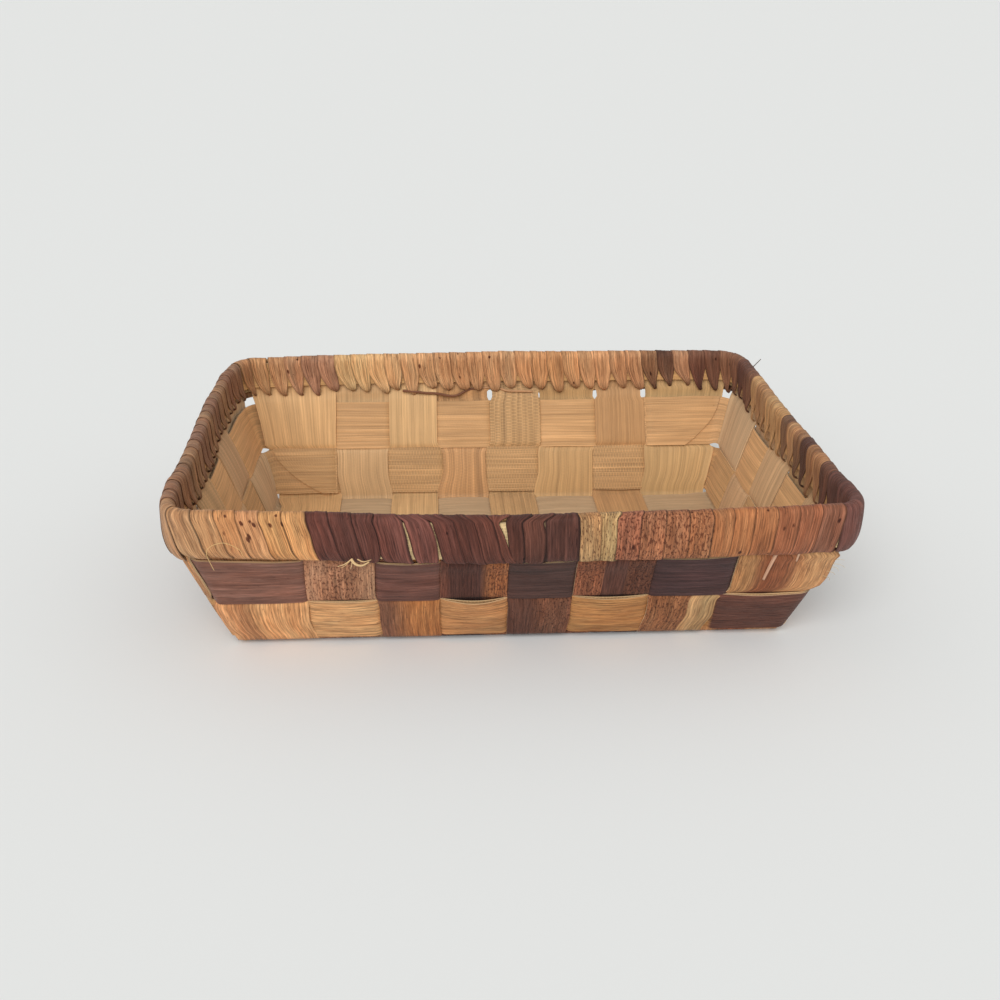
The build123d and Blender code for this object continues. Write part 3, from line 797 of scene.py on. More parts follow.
def makeUpright(family, number, edges, halfRim, floorBounds, floorSigns, nearSigns, farSigns, ply):
    # family "cross" runs front to back, family "long" runs left to right
    path = Upright(halfRim)
    isCross = family == "cross"
    isBark = ply == "bark"
    crossHalf = halfLength if isCross else halfDepth
    acrossBounds = crossBounds if isCross else longBounds
    nearSide, farSide = (0, 2) if isCross else (3, 1)
    isFirst = number == 0
    isLast = number == len(acrossBounds) - 2
    isFreeStrip = isCross and isLast
    seed = number + (20 if isCross else 40)
    top = path.wayAt(weave["stripTop"])
    rowWays = [path.wayAt(rowSplit), path.wayAt(weave["rimFrom"])]
    bend = (path.flat + path.wallFrom) / 2
    bounds = [-top, -rowWays[1], -rowWays[0], -bend] + floorBounds[1:-1] + [bend, rowWays[0], rowWays[1], top]
    signs = [0, nearSigns[1], nearSigns[0]] + floorSigns + [farSigns[0], farSigns[1], 0]
    sizes = [weave["wallSwing"]] * 3 + [weave["floorSwing"]] * len(floorSigns) + [weave["wallSwing"]] * 3
    blend, bands = (crossBark if isCross else longBark)[number]
    pithHex, ladder, ribs, seams = (crossLining if isCross else longLining)[number]
    thickness, faceOffset = plies[ply]
    width = edges[1] - edges[0]
    bandEnds = [band[0] for band in bands[:-1]]
    grooves = bandEnds if blend < groove["crispBlend"] else []

    def edgeAt(right, way):
        # where the strip's edge lies at this point of its path
        side = 1 if right else -1
        z = max(path.station(abs(way))[1], floorMiddle)
        if (right and isLast) or (not right and isFirst):
            wraps = cornerWraps.get((family, right, way < 0), usualWraps)
            wrapHere = mix(*wraps, fade(z, *cornerEdge["upperRow"]))
            onFloor = smooth((abs(way) - path.flat + cornerEdge["floorEase"]) / cornerEdge["floorEase"])
            over = mix(-shell["cornerMargin"], cornerEdge["floorReach"], onFloor)
            quarter = cornerRadius(z) * pi / 2
            over = mix(over, wrapHere * quarter, fade(z, *cornerEdge["wrap"]))
            isBackCorner = way > 0 if isCross else isLast
            if isBackCorner:
                over -= holeAt(z)
            edge = side * (cornerStart(crossHalf, z) + over)
            if right and isFreeStrip and way < 0:
                edge = mix(edge, curveThrough(freeEdge, z), inFreeSpan(z))
        else:
            seam = number if right else number - 1
            edge = acrossBounds[seam + 1] + side * weave["lap"]
            if isCross:
                edge += seamShift(0 if way < 0 else 2, seam, z if abs(way) > path.flat else 0)
                edge -= side * (slitAt(seam, z) if way > 0 else 0.0)
        edge += ragged["wave"] * wobble(way / ragged["waveSize"], side * 3.0, seed)
        return edge + ragged["nick"] * wobble(way / ragged["nickSize"], side * 5.0, seed)

    def place(way, acrossMm):
        share = acrossMm / width
        reach, z, angle = path.station(abs(way))
        level, within, cell = weaveAt(way, bounds, signs, sizes)
        sign = signs[cell]
        if floorBounds[0] < way < floorBounds[-1] and sign > 0:
            within = 0.0
        crown = 1 - (2 * share - 1) ** 2
        offset = level + sign * within * (weave["bulge"] * (0.5 + 0.5 * crown) + weave["crown"] * crown)
        offset += (ragged["sway"] * wobble(way / ragged["swaySize"], share * 2, seed)
                   * (1 if abs(way) > path.wallFrom else 0.4))
        if isBark:
            offset -= ridgeAt(share, grooves, groove["depth"])
        else:
            offset += ridgeAt(share, seams, groove["ridge"])
        offset += faceOffset
        across = mix(edgeAt(False, way), edgeAt(True, way), share)
        if abs(way) <= path.wallFrom:
            run = copysign(reach + offset * sin(angle), way)
            rise = z - offset * cos(angle)
            return Vector((across, run, rise)) if isCross else Vector((run, across, rise))
        side = nearSide if way < 0 else farSide
        along = across * (sideRuns[side].x if isCross else sideRuns[side].y)
        wrapShare = fade(z, *cornerEdge["turn"])
        if isFreeStrip and way < 0 and across > 0:
            wrapShare *= mix(1.0, freeSpan["wrap"], inFreeSpan(z))
        return wallSpot(side, along, z, offset, wrapShare)

    def tone(way, acrossMm):
        share = acrossMm / width
        if isBark:
            base, specks = bandTone(bands, share, blend)
            return base, (specks, 0.0, 0.0)
        shade = 1.0 + liningWave["shade"] * wobble(way / liningWave["size"], share, seed + 2)
        # painted light that makes the pith paler on the side walls
        if not isCross:
            shade *= 1 + liningWave["sideWallLight"] * smooth((abs(way) - path.flat) / liningWave["sideEase"])
        for seam in seams:
            shade *= 1 - groove["dark"] * max(0.0, 1 - abs(share - seam) / groove["darkReach"])
        return shaded(colour(pithHex), shade), (0.0, ladder, ribs)

    stops = bandEnds if isBark else seams
    shares = withStops(evenSteps(0.0, 1.0, uprightSteps["across"]), stops, uprightSteps["seam"])
    node = family + "_strip_" + str(number + 1) + "_" + ply
    makeSheet(node + "_sheet", evenSteps(-top, top, uprightSteps["along"]),
              [share * width for share in shares], place, tone, thickness,
              [speckledBark if isBark else pithLining, cutEdge], node,
              "bark_brown" if isBark else "lining", seed, facing=downwards)


for number, edges in enumerate(crossEdges):
    floorSigns = [floorSign(number, j) for j in range(longCount)]
    wallSigns = [stakeSign(number, row) for row in (0, 1)]
    for ply in ("bark", "lining"):
        makeUpright("cross", number, edges, halfDepth, longBounds, floorSigns, wallSigns, wallSigns, ply)
for number, edges in enumerate(longEdges):
    floorSigns = [-floorSign(k, number) for k in range(crossCount)]
    leftSigns = [stakeSign(2 * (crossCount + longCount) - 1 - number, row) for row in (0, 1)]
    rightSigns = [stakeSign(crossCount + number, row) for row in (0, 1)]
    for ply in ("bark", "lining"):
        makeUpright("long", number, edges, halfLength, crossBounds, floorSigns, leftSigns, rightSigns, ply)
print("upright strips made")


# Weavers: one strip round each row, its end lapped inside over its start
weavers = {
    "lower": {
        "node": "lower_weaver", "slot": "bark_tan", "smooth": False, "startCell": 20, "lapAtStart": False,
        "cutInset": 5.0, "cutSlant": 28.0, "lining": "#C19869", "ladder": 1.0, "ribs": 0.5,
        # bark tints of the stretches that show outside, by the upright strip that they cross
        "tints": {1: "#D6A471", 3: "#C48C5A", 5: "#BA8450", 7: "#613D32", 9: "#6A4639", 11: "#8A6248",
                  13: "#B98452", 15: "#BE8A56", 17: "#B07848", 19: "#C08C5A", 21: "#B88450", 23: "#A87448",
                  25: "#BC8A58"},
        "specks": {1: 0.3, 3: 0.25, 5: 0.2, 7: 0.45, 9: 0.4},
        "lifts": {1: 0.7, 3: 2.1, 5: 1.3, 7: 0.9, 9: 0.8, 15: 1.6, 19: 0.8, 23: 1.2},
        "creased": (3, 5), "paleTopped": (7, 8, 9),
    },
    "upper": {
        "node": "upper_weaver", "slot": "bark_dark", "smooth": True, "startCell": 13, "lapAtStart": True,
        "cutInset": 3.0, "cutSlant": 22.0, "lining": "#C89C6C", "ladder": 0.12, "ribs": 0.9,
        "tints": {0: "#855B4C", 2: "#6E473D", 4: "#4E342E", 6: "#4A302F", 8: "#5A3B31", 10: "#6A4437",
                  12: "#543730", 14: "#6A4639", 16: "#7A5140", 18: "#5C3F35", 20: "#704A38", 22: "#644237",
                  24: "#764D3C"},
        "specks": {},
        "lifts": {0: 0.3, 2: 0.5, 8: 0.6, 14: 0.5, 18: 0.8},
        "creased": (), "paleTopped": (),
    },
}
# How a weaver's free top edge lifts off the wall, how its end laps its start, how much its tone varies, and
# the painted light that makes its pith paler on the side walls
weaverShape = {
    "usualLift": 0.25, "barkLift": 1.18, "liningLift": 0.82, "liftRun": 1.3, "liftRise": 2.2,
    "barkDroop": 0.5, "liningDroop": 0.1,
    "lapRun": 60.0, "lapGap": 0.12, "endGap": 0.5,
    "sway": 0.16, "swaySize": 22.0, "edgeSway": 0.4, "edgeSwaySize": 18.0,
    "along": 1.8, "across": 2.2,
    "usualSpecks": 0.3, "sideWallLight": 1.16, "barkVary": 0.08, "liningVary": 0.06,
    "patchMiddle": 0.75, "patchVary": 0.9,
    # crease and its darkness: painted shade along a crease low on some stretches
    "crease": (0.13, 0.09), "creaseShade": 0.4, "paleTop": (0.72, 0.2), "pale": 0.55,
}
# Where the uprights part at a corner, as shares of its arc, by side and row
cornerParts = {(0, 1): 0.3, (1, 0): 0.02}
usualCornerPart = 0.5
# All uprights round the walls: side, number, edges
perimeterStakes = [(0, k, crossEdges[k]) for k in range(crossCount)]
perimeterStakes += [(1, j, longEdges[j]) for j in range(longCount)]
perimeterStakes += [(2, k, [-e for e in reversed(crossEdges[k])]) for k in reversed(range(crossCount))]
perimeterStakes += [(3, j, [-e for e in reversed(longEdges[j])]) for j in reversed(range(longCount))]


class Row:
    # distances round one row of the walls, from the start of the front's flat part
    def __init__(self, row):
        self.row = row
        self.low, self.high = weave["rowLow"][row], weave["rowHigh"][row]
        middle = (self.low + self.high) / 2
        self.flats = [cornerStart(halfSizes(side)[0], middle) for side in range(4)]
        self.arc = cornerRadius(middle) * pi / 2
        self.starts = []
        total = 0.0
        for side in range(4):
            self.starts.append(total)
            total += 2 * self.flats[side] + self.arc
        self.total = total
        self.bounds = []
        for number, (side, index, edges) in enumerate(perimeterStakes):
            before = perimeterStakes[number - 1]
            if before[0] != side:
                part = cornerParts.get((side, row), usualCornerPart)
                self.bounds.append(self.starts[side] - self.arc * part)
            else:
                shift = 0.0
                if side in seamShifts:
                    shift = seamShift(side, min(index, before[1]), middle) * (1 if side == 0 else -1)
                seam = (before[2][1] + edges[0]) / 2
                self.bounds.append(self.starts[side] + self.flats[side] + seam + shift)

    def sway(self, travel):
        # how far the top edge stands above its usual height
        if self.row == 0:
            return 0.0
        travel = travel % self.total
        middles = [self.starts[side] + self.flats[side] for side in range(4)]
        places = [(middles[3] - self.total, weave["topSway"][3])]
        places += [(middles[side], weave["topSway"][side]) for side in range(4)]
        places.append((middles[0] + self.total, weave["topSway"][0]))
        return curveThrough(places, travel)

    def cornerNotch(self, travel):
        # the weavers draw apart where they turn the back corners
        travel = travel % self.total
        middles = [self.starts[side] + 2 * self.flats[side] + self.arc / 2 for side in (1, 2)]
        return weave["cornerNotch"] * max(hill(travel, middle, weave["notchReach"]) for middle in middles)

    def spot(self, travel, z, offset):
        travel = travel % self.total
        side = 3
        while self.starts[side] > travel:
            side -= 1
        local = travel - self.starts[side]
        flat = self.flats[side]
        if local > 2 * flat:
            return cornerSpot(side, pi / 2 * (local - 2 * flat) / self.arc, z, offset)
        along = local - flat
        steady = flat - weave["cornerEase"]
        if abs(along) > steady:
            grown = (cornerStart(halfSizes(side)[0], z) - steady) / (flat - steady)
            along = copysign(steady + (abs(along) - steady) * grown, along)
        return wallSpot(side, along, z, offset)


def makeWeaver(row, look, ply):
    ring = Row(row)
    shape = weaverShape
    isBark = ply == "bark"
    thickness, faceOffset = plies[ply]
    count = len(perimeterStakes)
    first = look["startCell"]
    # unrolled bounds: one full turn and one cell more, where the end laps the start
    bounds, signs, cells = [], [], []
    for step in range(count + 2):
        index = (first + step) % count
        bounds.append(ring.bounds[index] + ring.total * ((first + step) // count))
        if step <= count:
            signs.append(-stakeSign(index, row))
            cells.append(index)
    sizes = [weave["wallSwing"]] * len(signs)
    start, end = bounds[0] + shape["endGap"], bounds[-1] - shape["endGap"]
    lapsStart = look["lapAtStart"]
    lapCell, lapFrom = (0, bounds[1]) if lapsStart else (len(signs) - 1, bounds[-2])
    lapRun = shape["lapRun"]
    seed = 60 + row
    rowHeight = ring.high - ring.low

    def place(travel, rise):
        share = rise / rowHeight
        # how much shorter the lapped end is at this share of the strip's height
        cutAway = look["cutInset"] + look["cutSlant"] * (1 - share) ** 2
        if lapsStart and travel < start + lapRun:
            travel = mix(start + cutAway, start + lapRun, clamp((travel - start) / lapRun))
        if not lapsStart and travel > end - lapRun:
            travel = mix(end - lapRun, end - cutAway, clamp((travel - end + lapRun) / lapRun))
        level, within, cell = weaveAt(travel, bounds, signs, sizes)
        sign = signs[cell]
        crown = 1 - (2 * share - 1) ** 2
        offset = level + sign * within * (weave["bulge"] * (0.5 + 0.5 * crown) + weave["crown"] * crown)
        lift = look["lifts"].get(cells[cell], shape["usualLift"]) if sign > 0 else 0.0
        offset += (lift * shape["barkLift" if isBark else "liningLift"]
                   * within ** shape["liftRun"] * share ** shape["liftRise"])
        if cell == lapCell:
            offset -= (plyTotal + shape["lapGap"]) * smooth(abs(travel - lapFrom) / (2 * weave["ease"]))
        offset += shape["sway"] * wobble(travel / shape["swaySize"], share * 1.5, seed) + faceOffset
        droop = shape["barkDroop" if isBark else "liningDroop"] * lift * within * share
        edgeSway = (shape["edgeSway"] * wobble(travel / shape["edgeSwaySize"], share * 4, seed + 5)
                    * abs(2 * share - 1))
        z = ring.low + rise + edgeSway - droop + ring.sway(travel) * smooth(share)
        z += ring.cornerNotch(travel) * ((1 - share) if row else -share)
        return ring.spot(travel, z, offset)

    def tone(travel, rise):
        share = rise / rowHeight
        index = cells[weaveAt(travel, bounds, signs, sizes)[2]]
        if not isBark:
            patch = clamp(shape["patchMiddle"] + shape["patchVary"] * wobble(index * 1.7, 2.0, seed))
            shade = 1 + shape["liningVary"] * wobble(travel / 45, share, seed + 3)
            # painted light: the pith is drawn paler on the side walls
            shade *= shape["sideWallLight"] if perimeterStakes[index][0] in (1, 3) else 1.0
            return shaded(colour(look["lining"]), shade), (0.0, look["ladder"] * patch, look["ribs"])
        tints = look["tints"]
        tint = tints.get(index) or tints.get(index - 1) or tints.get(index + 1)
        shade = 1 + shape["barkVary"] * wobble(travel / 26, share * 7, seed + 4)
        # painted shade along a crease low on these stretches
        if index in look["creased"]:
            shade *= 1 - shape["creaseShade"] * hill(share, *shape["crease"])
        if index in look["paleTopped"]:
            ripple = 0.6 + 0.4 * wobble(travel / 30, share * 9, seed + 8)
            shade *= 1 + shape["pale"] * fade(share, *shape["paleTop"]) * ripple
        return shaded(colour(tint), shade), (look["specks"].get(index, shape["usualSpecks"]), 0.0, 0.0)

    node = look["node"] + "_" + ply
    bark = smoothBark if look["smooth"] else speckledBark
    makeSheet(node + "_sheet", evenSteps(start, end, shape["along"]),
              evenSteps(0.0, rowHeight, shape["across"]), place, tone, thickness,
              [bark if isBark else pithLining, cutEdge], node, look["slot"] if isBark else "lining", seed)


for row, look in enumerate(weavers.values()):
    for ply in ("bark", "lining"):
        makeWeaver(row, look, ply)
print("weavers made")


# Rim: two flat hoops clamp the strip ends, a roll fills the top, a stick packs the back.
# Each hoop: low edge, place of its face, thickness, hex, ladder, the way it faces
hoops = {
    "rim_outer_hoop": (66.5, 3.125, 1.9, "#DDBE8C", 0.9, outwards),
    "rim_inner_hoop": (69.0, -2.925, 1.7, "#C89A64", 0.1, inwards),
}
hoopTop = 85.0
hoopRibs = 0.6
hoopStep = 3.0
hoopGap = 0.3          # each end stops this far short of the joint at the middle of the back


def plainTone(hexText, marks=(0.0, 0.0, 0.0), spread=0.05):
    base = colour(hexText)

    def tone(along, across):
        return shaded(base, 1 + spread * wobble(along / 30, across / 5, 1)), marks
    return tone


def makeHoop(node, low, face, thickness, hexText, ladder, facing):
    joint = rimStraights[0] + rimArc + rimStraights[1] + rimArc + rimStraights[2] / 2

    def place(travel, z):
        return rimSpot(travel, z, face + 0.1 * wobble(travel / 25, z / 20, 9))

    makeSheet(node + "_band", evenSteps(joint + hoopGap, joint + rimTravel - hoopGap, hoopStep),
              evenSteps(low, hoopTop, hoopStep), place, plainTone(hexText, (0.0, ladder, hoopRibs)),
              thickness, [pithLining, cutEdge], node, "cane", 70, facing=facing)


for node, hoop in hoops.items():
    makeHoop(node, *hoop)

tubeSide = Vector((0.13, 0.21, 0.97))      # no stick or fibre runs along this


def makeTube(name, points, radius, tone, nodes, slotName, taper=0.0, sides=8, settled=False):
    # a thin round stick or fibre along points, from a grid rolled round them and closed
    lengths = [0.0]
    for near, far in zip(points, points[1:]):
        lengths.append(lengths[-1] + (far - near).length)

    def corner(row, column):
        near, far = points[max(row - 1, 0)], points[min(row + 1, len(points) - 1)]
        heading = (far - near).normalized()
        aside = heading.cross(tubeSide).normalized()
        over = aside.cross(heading).normalized()
        angle = 2 * pi * column / sides
        here = radius * mix(1.0, 1 - taper, lengths[row] / lengths[-1])
        spot = points[row] + aside * cos(angle) * here + over * sin(angle) * here
        around = angle * radius
        return spot if settled else settle(spot), lengths[row], around, tone(lengths[row], around)

    bm, mapLayer = bendGrid(len(points) - 1, sides, corner)
    mapFaces(bm, mapLayer)
    bmesh.ops.remove_doubles(bm, verts=bm.verts, dist=0.002 * mm)
    bmesh.ops.holes_fill(bm, edges=[edge for edge in bm.edges if edge.is_boundary], sides=sides + 2)
    bmesh.ops.recalc_face_normals(bm, faces=bm.faces)
    addPiece(bm, mapLayer, name, [pithLining], nodes, slotName)


roll = {"height": 86.05, "offset": 0.1, "radius": 0.9, "step": 4.0, "hex": "#B89060", "ribs": 0.5}
rollPoints = [rimSpot(travel, roll["height"], roll["offset"])
              for travel in evenSteps(0.0, rimTravel, roll["step"])[:-1]]
makeTube("rim_top_roll_core", rollPoints, roll["radius"], plainTone(roll["hex"], (0.0, 0.0, roll["ribs"])),
         ["rim_top_roll"], "cane")
stick = {
    "from": -57.0, "to": 27.0, "radius": 0.85, "taper": 0.2, "step": 2.0,
    "heights": [(-57, 65.2), (-40, 63.2), (-24, 60.9), (-12, 64.5), (2, 65.0), (12, 63.2), (27, 63.0)],
    "reach": [(-57, 4.9), (-24, 5.1), (-12, 2.4), (2, 2.4), (12, 4.8), (27, 4.8)],
    "darkHex": "#7E5238", "paleHex": "#C4946A", "pale": (46.0, 10.0), "ribs": 0.4,
}


def stickTone(along, across):
    share = fade(along, *stick["pale"])
    base = mixColours(colour(stick["darkHex"]), colour(stick["paleHex"]), share)
    return shaded(base, 1 + 0.2 * wobble(along / 4, across, 6)), (0.0, 0.0, stick["ribs"])


stickPoints = [Vector((x, halfDepth - curveThrough(stick["reach"], x),
                       curveThrough(stick["heights"], x) + 0.3 * wobble(x / 9, 1, 4)))
               for x in evenSteps(stick["from"], stick["to"], stick["step"])]
makeTube("rim_back_stick_cane", stickPoints, stick["radius"], stickTone, ["rim_back_stick"], "cane",
         taper=stick["taper"])
print("rim made")


# Lashing: each strip is wound on as one long helix. Turns are counted from the front left corner.
lashing = {
    "thickness": 0.32,
    "loopLength": 62.0,      # of one turn, on the strip's own map
    "overlap": 0.9,
    "stepsPerTurn": 46,
    "acrossSteps": 13,
    "edgeShares": (0.02, 0.045, 0.07, 0.12, 0.88, 0.93, 0.955, 0.98),     # closer steps for the edge lines
    "probe": 0.72,           # share of a turn that lies on the outside, where the strip's face is tested
    "tongueWidth": 2.6, "tongueCurl": 0.5,
    "shingle": 0.42,
    "puff": 0.06,
    # the last of these paints shade into the crease valleys and light onto the crease ridges
    "crease": 0.15, "fineCrease": 0.6, "creaseShading": 0.9,
    "bluntVary": 0.35, "tongueVary": 0.16, "wander": 0.45, "wanderFrom": 0.05, "nick": 0.25, "lowVary": 0.9,
    "turnVary": 0.10, "patchVary": 0.12,
    "crownRun": 0.06,        # share of a pitch that a turn goes along the rim while it crosses the top
    "lead": 1.0,             # share of a pitch by which every turn runs ahead
    "pushEase": 0.1,
    "lowFrom": 70.0, "lowOver": 7.0,           # the outside's low edge, down from this height
    "tongueFrom": 76.0, "tongueOver": 10.0,    # the tongues on the inside, down from this height
    "tipRise": 3.6, "tipAside": 3.4,
    "line": (0.86, 0.1), "paintedEdgeShade": 0.6, "paintedEdgeShadeInside": 0.35,       # painted shade along each edge, where one turn overlaps the next
    "sheen": (0.74, 0.1), "paintedHighlight": 0.2,                            # and a painted highlight inside that
    "tipDark": 0.35, "tipFrom": 69.5, "tipOver": 5.0,      # pinched tips of the tongues
    "darkest": 0.25,
    "waveStart": 30.0,       # the uneven low edge is counted from this far before the front left corner
}

# one turn: offset, height, width share (0 a tongue, 1 full)
insideLoop = [(0.3, 63.6, 0.0), (-2.3, 64.2, 0.0), (-3.3, 66.0, 0.13), (-3.5, 69.0, 0.34), (-3.6, 73.0, 0.66),
              (-3.65, 78.0, 0.94), (-3.6, 82.5, 1.0)]
crownLoop = [(-3.1, 85.6, 1.0), (-1.6, 87.3, 1.0), (0.4, 87.75, 1.0), (2.4, 87.1, 1.0), (3.6, 85.0, 1.0)]
outsideLoop = [(3.95, 81.5, 1.0), (4.0, 77.5, 1.0), (4.0, 73.0, 1.0), (3.95, 68.5, 1.0), (3.75, 64.8, 1.0)]
underLoop = [(3.2, 62.4, 0.95), (2.0, 62.6, 0.6), (1.0, 63.2, 0.15)]
loopStations = insideLoop + crownLoop + outsideLoop + underLoop


# Strips in the order they are wound: turns, specks, dots, creases, how far a turn leans along the rim on its
# inside and on its outside (shares of the pitch at the strip's start and end), and the tones along the strip
windings = {
    "lashing_front_1": (4, 0.35, 0.6, 0.9, (0.3, 0.3), (0.66, 0.6),
        "#D89A62 #CE966A #D89E66 #DEA46C"),
    "lashing_front_2": (9, 0.1, 0.1, 2.0, (0.3, 0.3), (0.58, 0.6),
        "#6E4137 #653D34 #7A4A40 #62392F #764638"),
    "lashing_front_3": (3, 0.15, 0.1, 2.3, (0.3, 0.3), (0.3, 0.1),
        "#503029 #6A4236 #5C3A32"),
    "lashing_front_4": (2, 0.8, 0.1, 0.7, (0.3, 0.3), (0.05, 0.0),
        "#B98A5E #C0A070"),
    "lashing_front_5": (4, 0.95, 0.3, 0.6, (0.3, 0.3), (0.0, 0.0),
        "#A86A50 #AC7250 #B07650"),
    "lashing_front_6": (6, 0.4, 0.7, 0.5, (0.3, 0.3), (0.0, -0.3),
        "#B57A50 #B0744A #A66848 #8E5C46"),
    "lashing_right_1": (4, 0.1, 0.0, 0.7, (0.25, 0.25), (0.0, 0.2),
        "#764B42 #6F4840 #68453C"),
    "lashing_right_2": (7, 0.15, 0.1, 1.2, (0.4, 0.4), (0.3, 0.3),
        "#6C463C #B8865C #5C3C32 #C49468 #583830"),
    "lashing_right_3": (6, 0.25, 0.1, 1.0, (0.4, 0.4), (0.3, 0.3),
        "#C89A68 #CFA472 #B98A60 #D0A674"),
    "lashing_right_4": (6, 0.2, 0.1, 1.1, (0.4, 0.4), (0.3, 0.3),
        "#8A6048 #6A4438 #966A50 #764E3E"),
    "lashing_back_1": (4, 0.2, 0.1, 1.1, (0.4, 0.4), (0.3, 0.3),
        "#6A4438 #B88866 #54362C #C8966C"),
    "lashing_back_2": (8, 0.3, 0.3, 0.9, (0.4, 0.3), (0.3, 0.3),
        "#CC966C #D8A274 #D09A6A #D6A072"),
    "lashing_back_3": (6, 0.45, 0.7, 0.9, (0.3, 0.35), (0.3, 0.3),
        "#D4A478 #CC986C #D8A87A"),
    "lashing_back_4": (6, 0.15, 0.05, 0.9, (0.4, 0.45), (0.3, 0.3),
        "#D8A87A #DCAC7C #E0B280 #E4B884 #E6BC86 #E6BC86 #BA8A6C #BC8C6E"),
    "lashing_back_5": (3, 0.5, 0.8, 1.0, (0.45, 0.5), (0.3, 0.3),
        "#B6866A #BC8C6A #C6966C #BC8C64"),
    "lashing_back_6": (2, 0.2, 0.2, 0.9, (0.6, 0.8), (0.3, 0.3),
        "#C89668 #BE8C64"),
    "lashing_back_7": (2, 0.2, 0.1, 0.9, (0.9, 0.8), (0.3, 0.3),
        "#A47C60 #94694F"),
    "lashing_left_1": (7, 0.25, 0.2, 1.4, (0.7, 0.6), (0.4, 0.4),
        "#9C7058 #B08662 #98705A #B48C68"),
    "lashing_left_2": (7, 0.25, 0.2, 1.5, (0.6, 0.6), (0.4, 0.4),
        "#A87C5E #98705A #B68C68 #9C745A"),
    "lashing_left_3": (6, 0.3, 0.3, 1.2, (0.5, 0.4), (0.5, 0.7),
        "#A87C5C #9C7258 #BC9068 #CA986A"),
}
# Where a turn's first edge is pushed along the outside, in mm, and the gaps after a turn: mm at the low and
# the high end, and how fast they close
edgePushes = {5: 0.4, 6: 0.4, 7: -0.6, 8: 4.0, 9: 6.2, 10: 5.0, 11: 4.2, 12: 2.4, 13: -1.2, 14: -4.6,
              15: -4.4, 16: 1.2, 17: 0.4, 18: -2.6, 19: -1.6, 20: -0.5, 22: 0.8, 24: -0.7}
lashGaps = {6: (5.8, 0.6, 5), 7: (2.3, 1.5, 1), 8: (4.4, 1.5, 2), 12: (1.2, 4.4, 1), 13: (2.0, 0.4, 2),
            14: (3.2, 0.9, 2), 15: (0.9, 0.5, 1)}
# How soon a tongue is full width above its tip: small is blunt
tongueShape = {"lashing_back_1": 0.9, "lashing_back_2": 0.42, "lashing_back_3": 0.36, "lashing_back_4": 0.4,
               "lashing_back_5": 0.7, "lashing_back_6": 0.7, "lashing_back_7": 0.6, "lashing_left_1": 0.6,
               "lashing_left_2": 0.5, "lashing_left_3": 0.6, "lashing_right_4": 0.7}
turnCount = sum(winding[0] for winding in windings.values())
turnPitch = rimTravel / turnCount
lashSlots = {part["node"]: part["material_slot"] for part in frame["record"]["subparts"]}


def throughFour(before, near, far, after, part):
    # a smooth step from near to far that takes its bend from the points on both sides
    return 0.5 * (2 * near + (far - before) * part
                  + (2 * before - 5 * near + 4 * far - after) * part ** 2
                  + (3 * near - before - 3 * far + after) * part ** 3)


def loopAt(share):
    # a smooth walk through the loop's stations: offset, height, width share
    position = share * loopLast
    index = min(int(position), loopLast - 1)
    four = [loopStations[max(0, min(index + n, loopLast))] for n in (-1, 0, 1, 2)]
    return [throughFour(*values, position - index) for values in zip(*four)]


def loopNormal(share):
    # away from the rim's middle
    near, far = loopAt(max(share - 0.01, 0)), loopAt(min(share + 0.01, 1))
    across, rise = far[0] - near[0], far[1] - near[1]
    length = (across ** 2 + rise ** 2) ** 0.5
    return -rise / length, across / length


# Shares of a turn at which its inside, crown and outside end
loopLast = len(loopStations) - 1
insideEnd = (len(insideLoop) - 1) / loopLast
crownEnd = (len(insideLoop) + len(crownLoop) - 1) / loopLast
outsideEnd = (len(insideLoop) + len(crownLoop) + len(outsideLoop)) / loopLast


def advanceAt(share, slantIn, slantOut):
    # how far along the rim a turn has come, in pitches, from its slit
    crown = lashing["crownRun"]
    if share < insideEnd:
        return slantIn * share / insideEnd
    if share < crownEnd:
        return slantIn + crown * (share - insideEnd) / (crownEnd - insideEnd)
    if share < outsideEnd:
        return slantIn + crown + slantOut * (share - crownEnd) / (outsideEnd - crownEnd)
    gone = slantIn + crown + slantOut
    return gone + (1 - gone) * (share - outsideEnd) / (1 - outsideEnd)


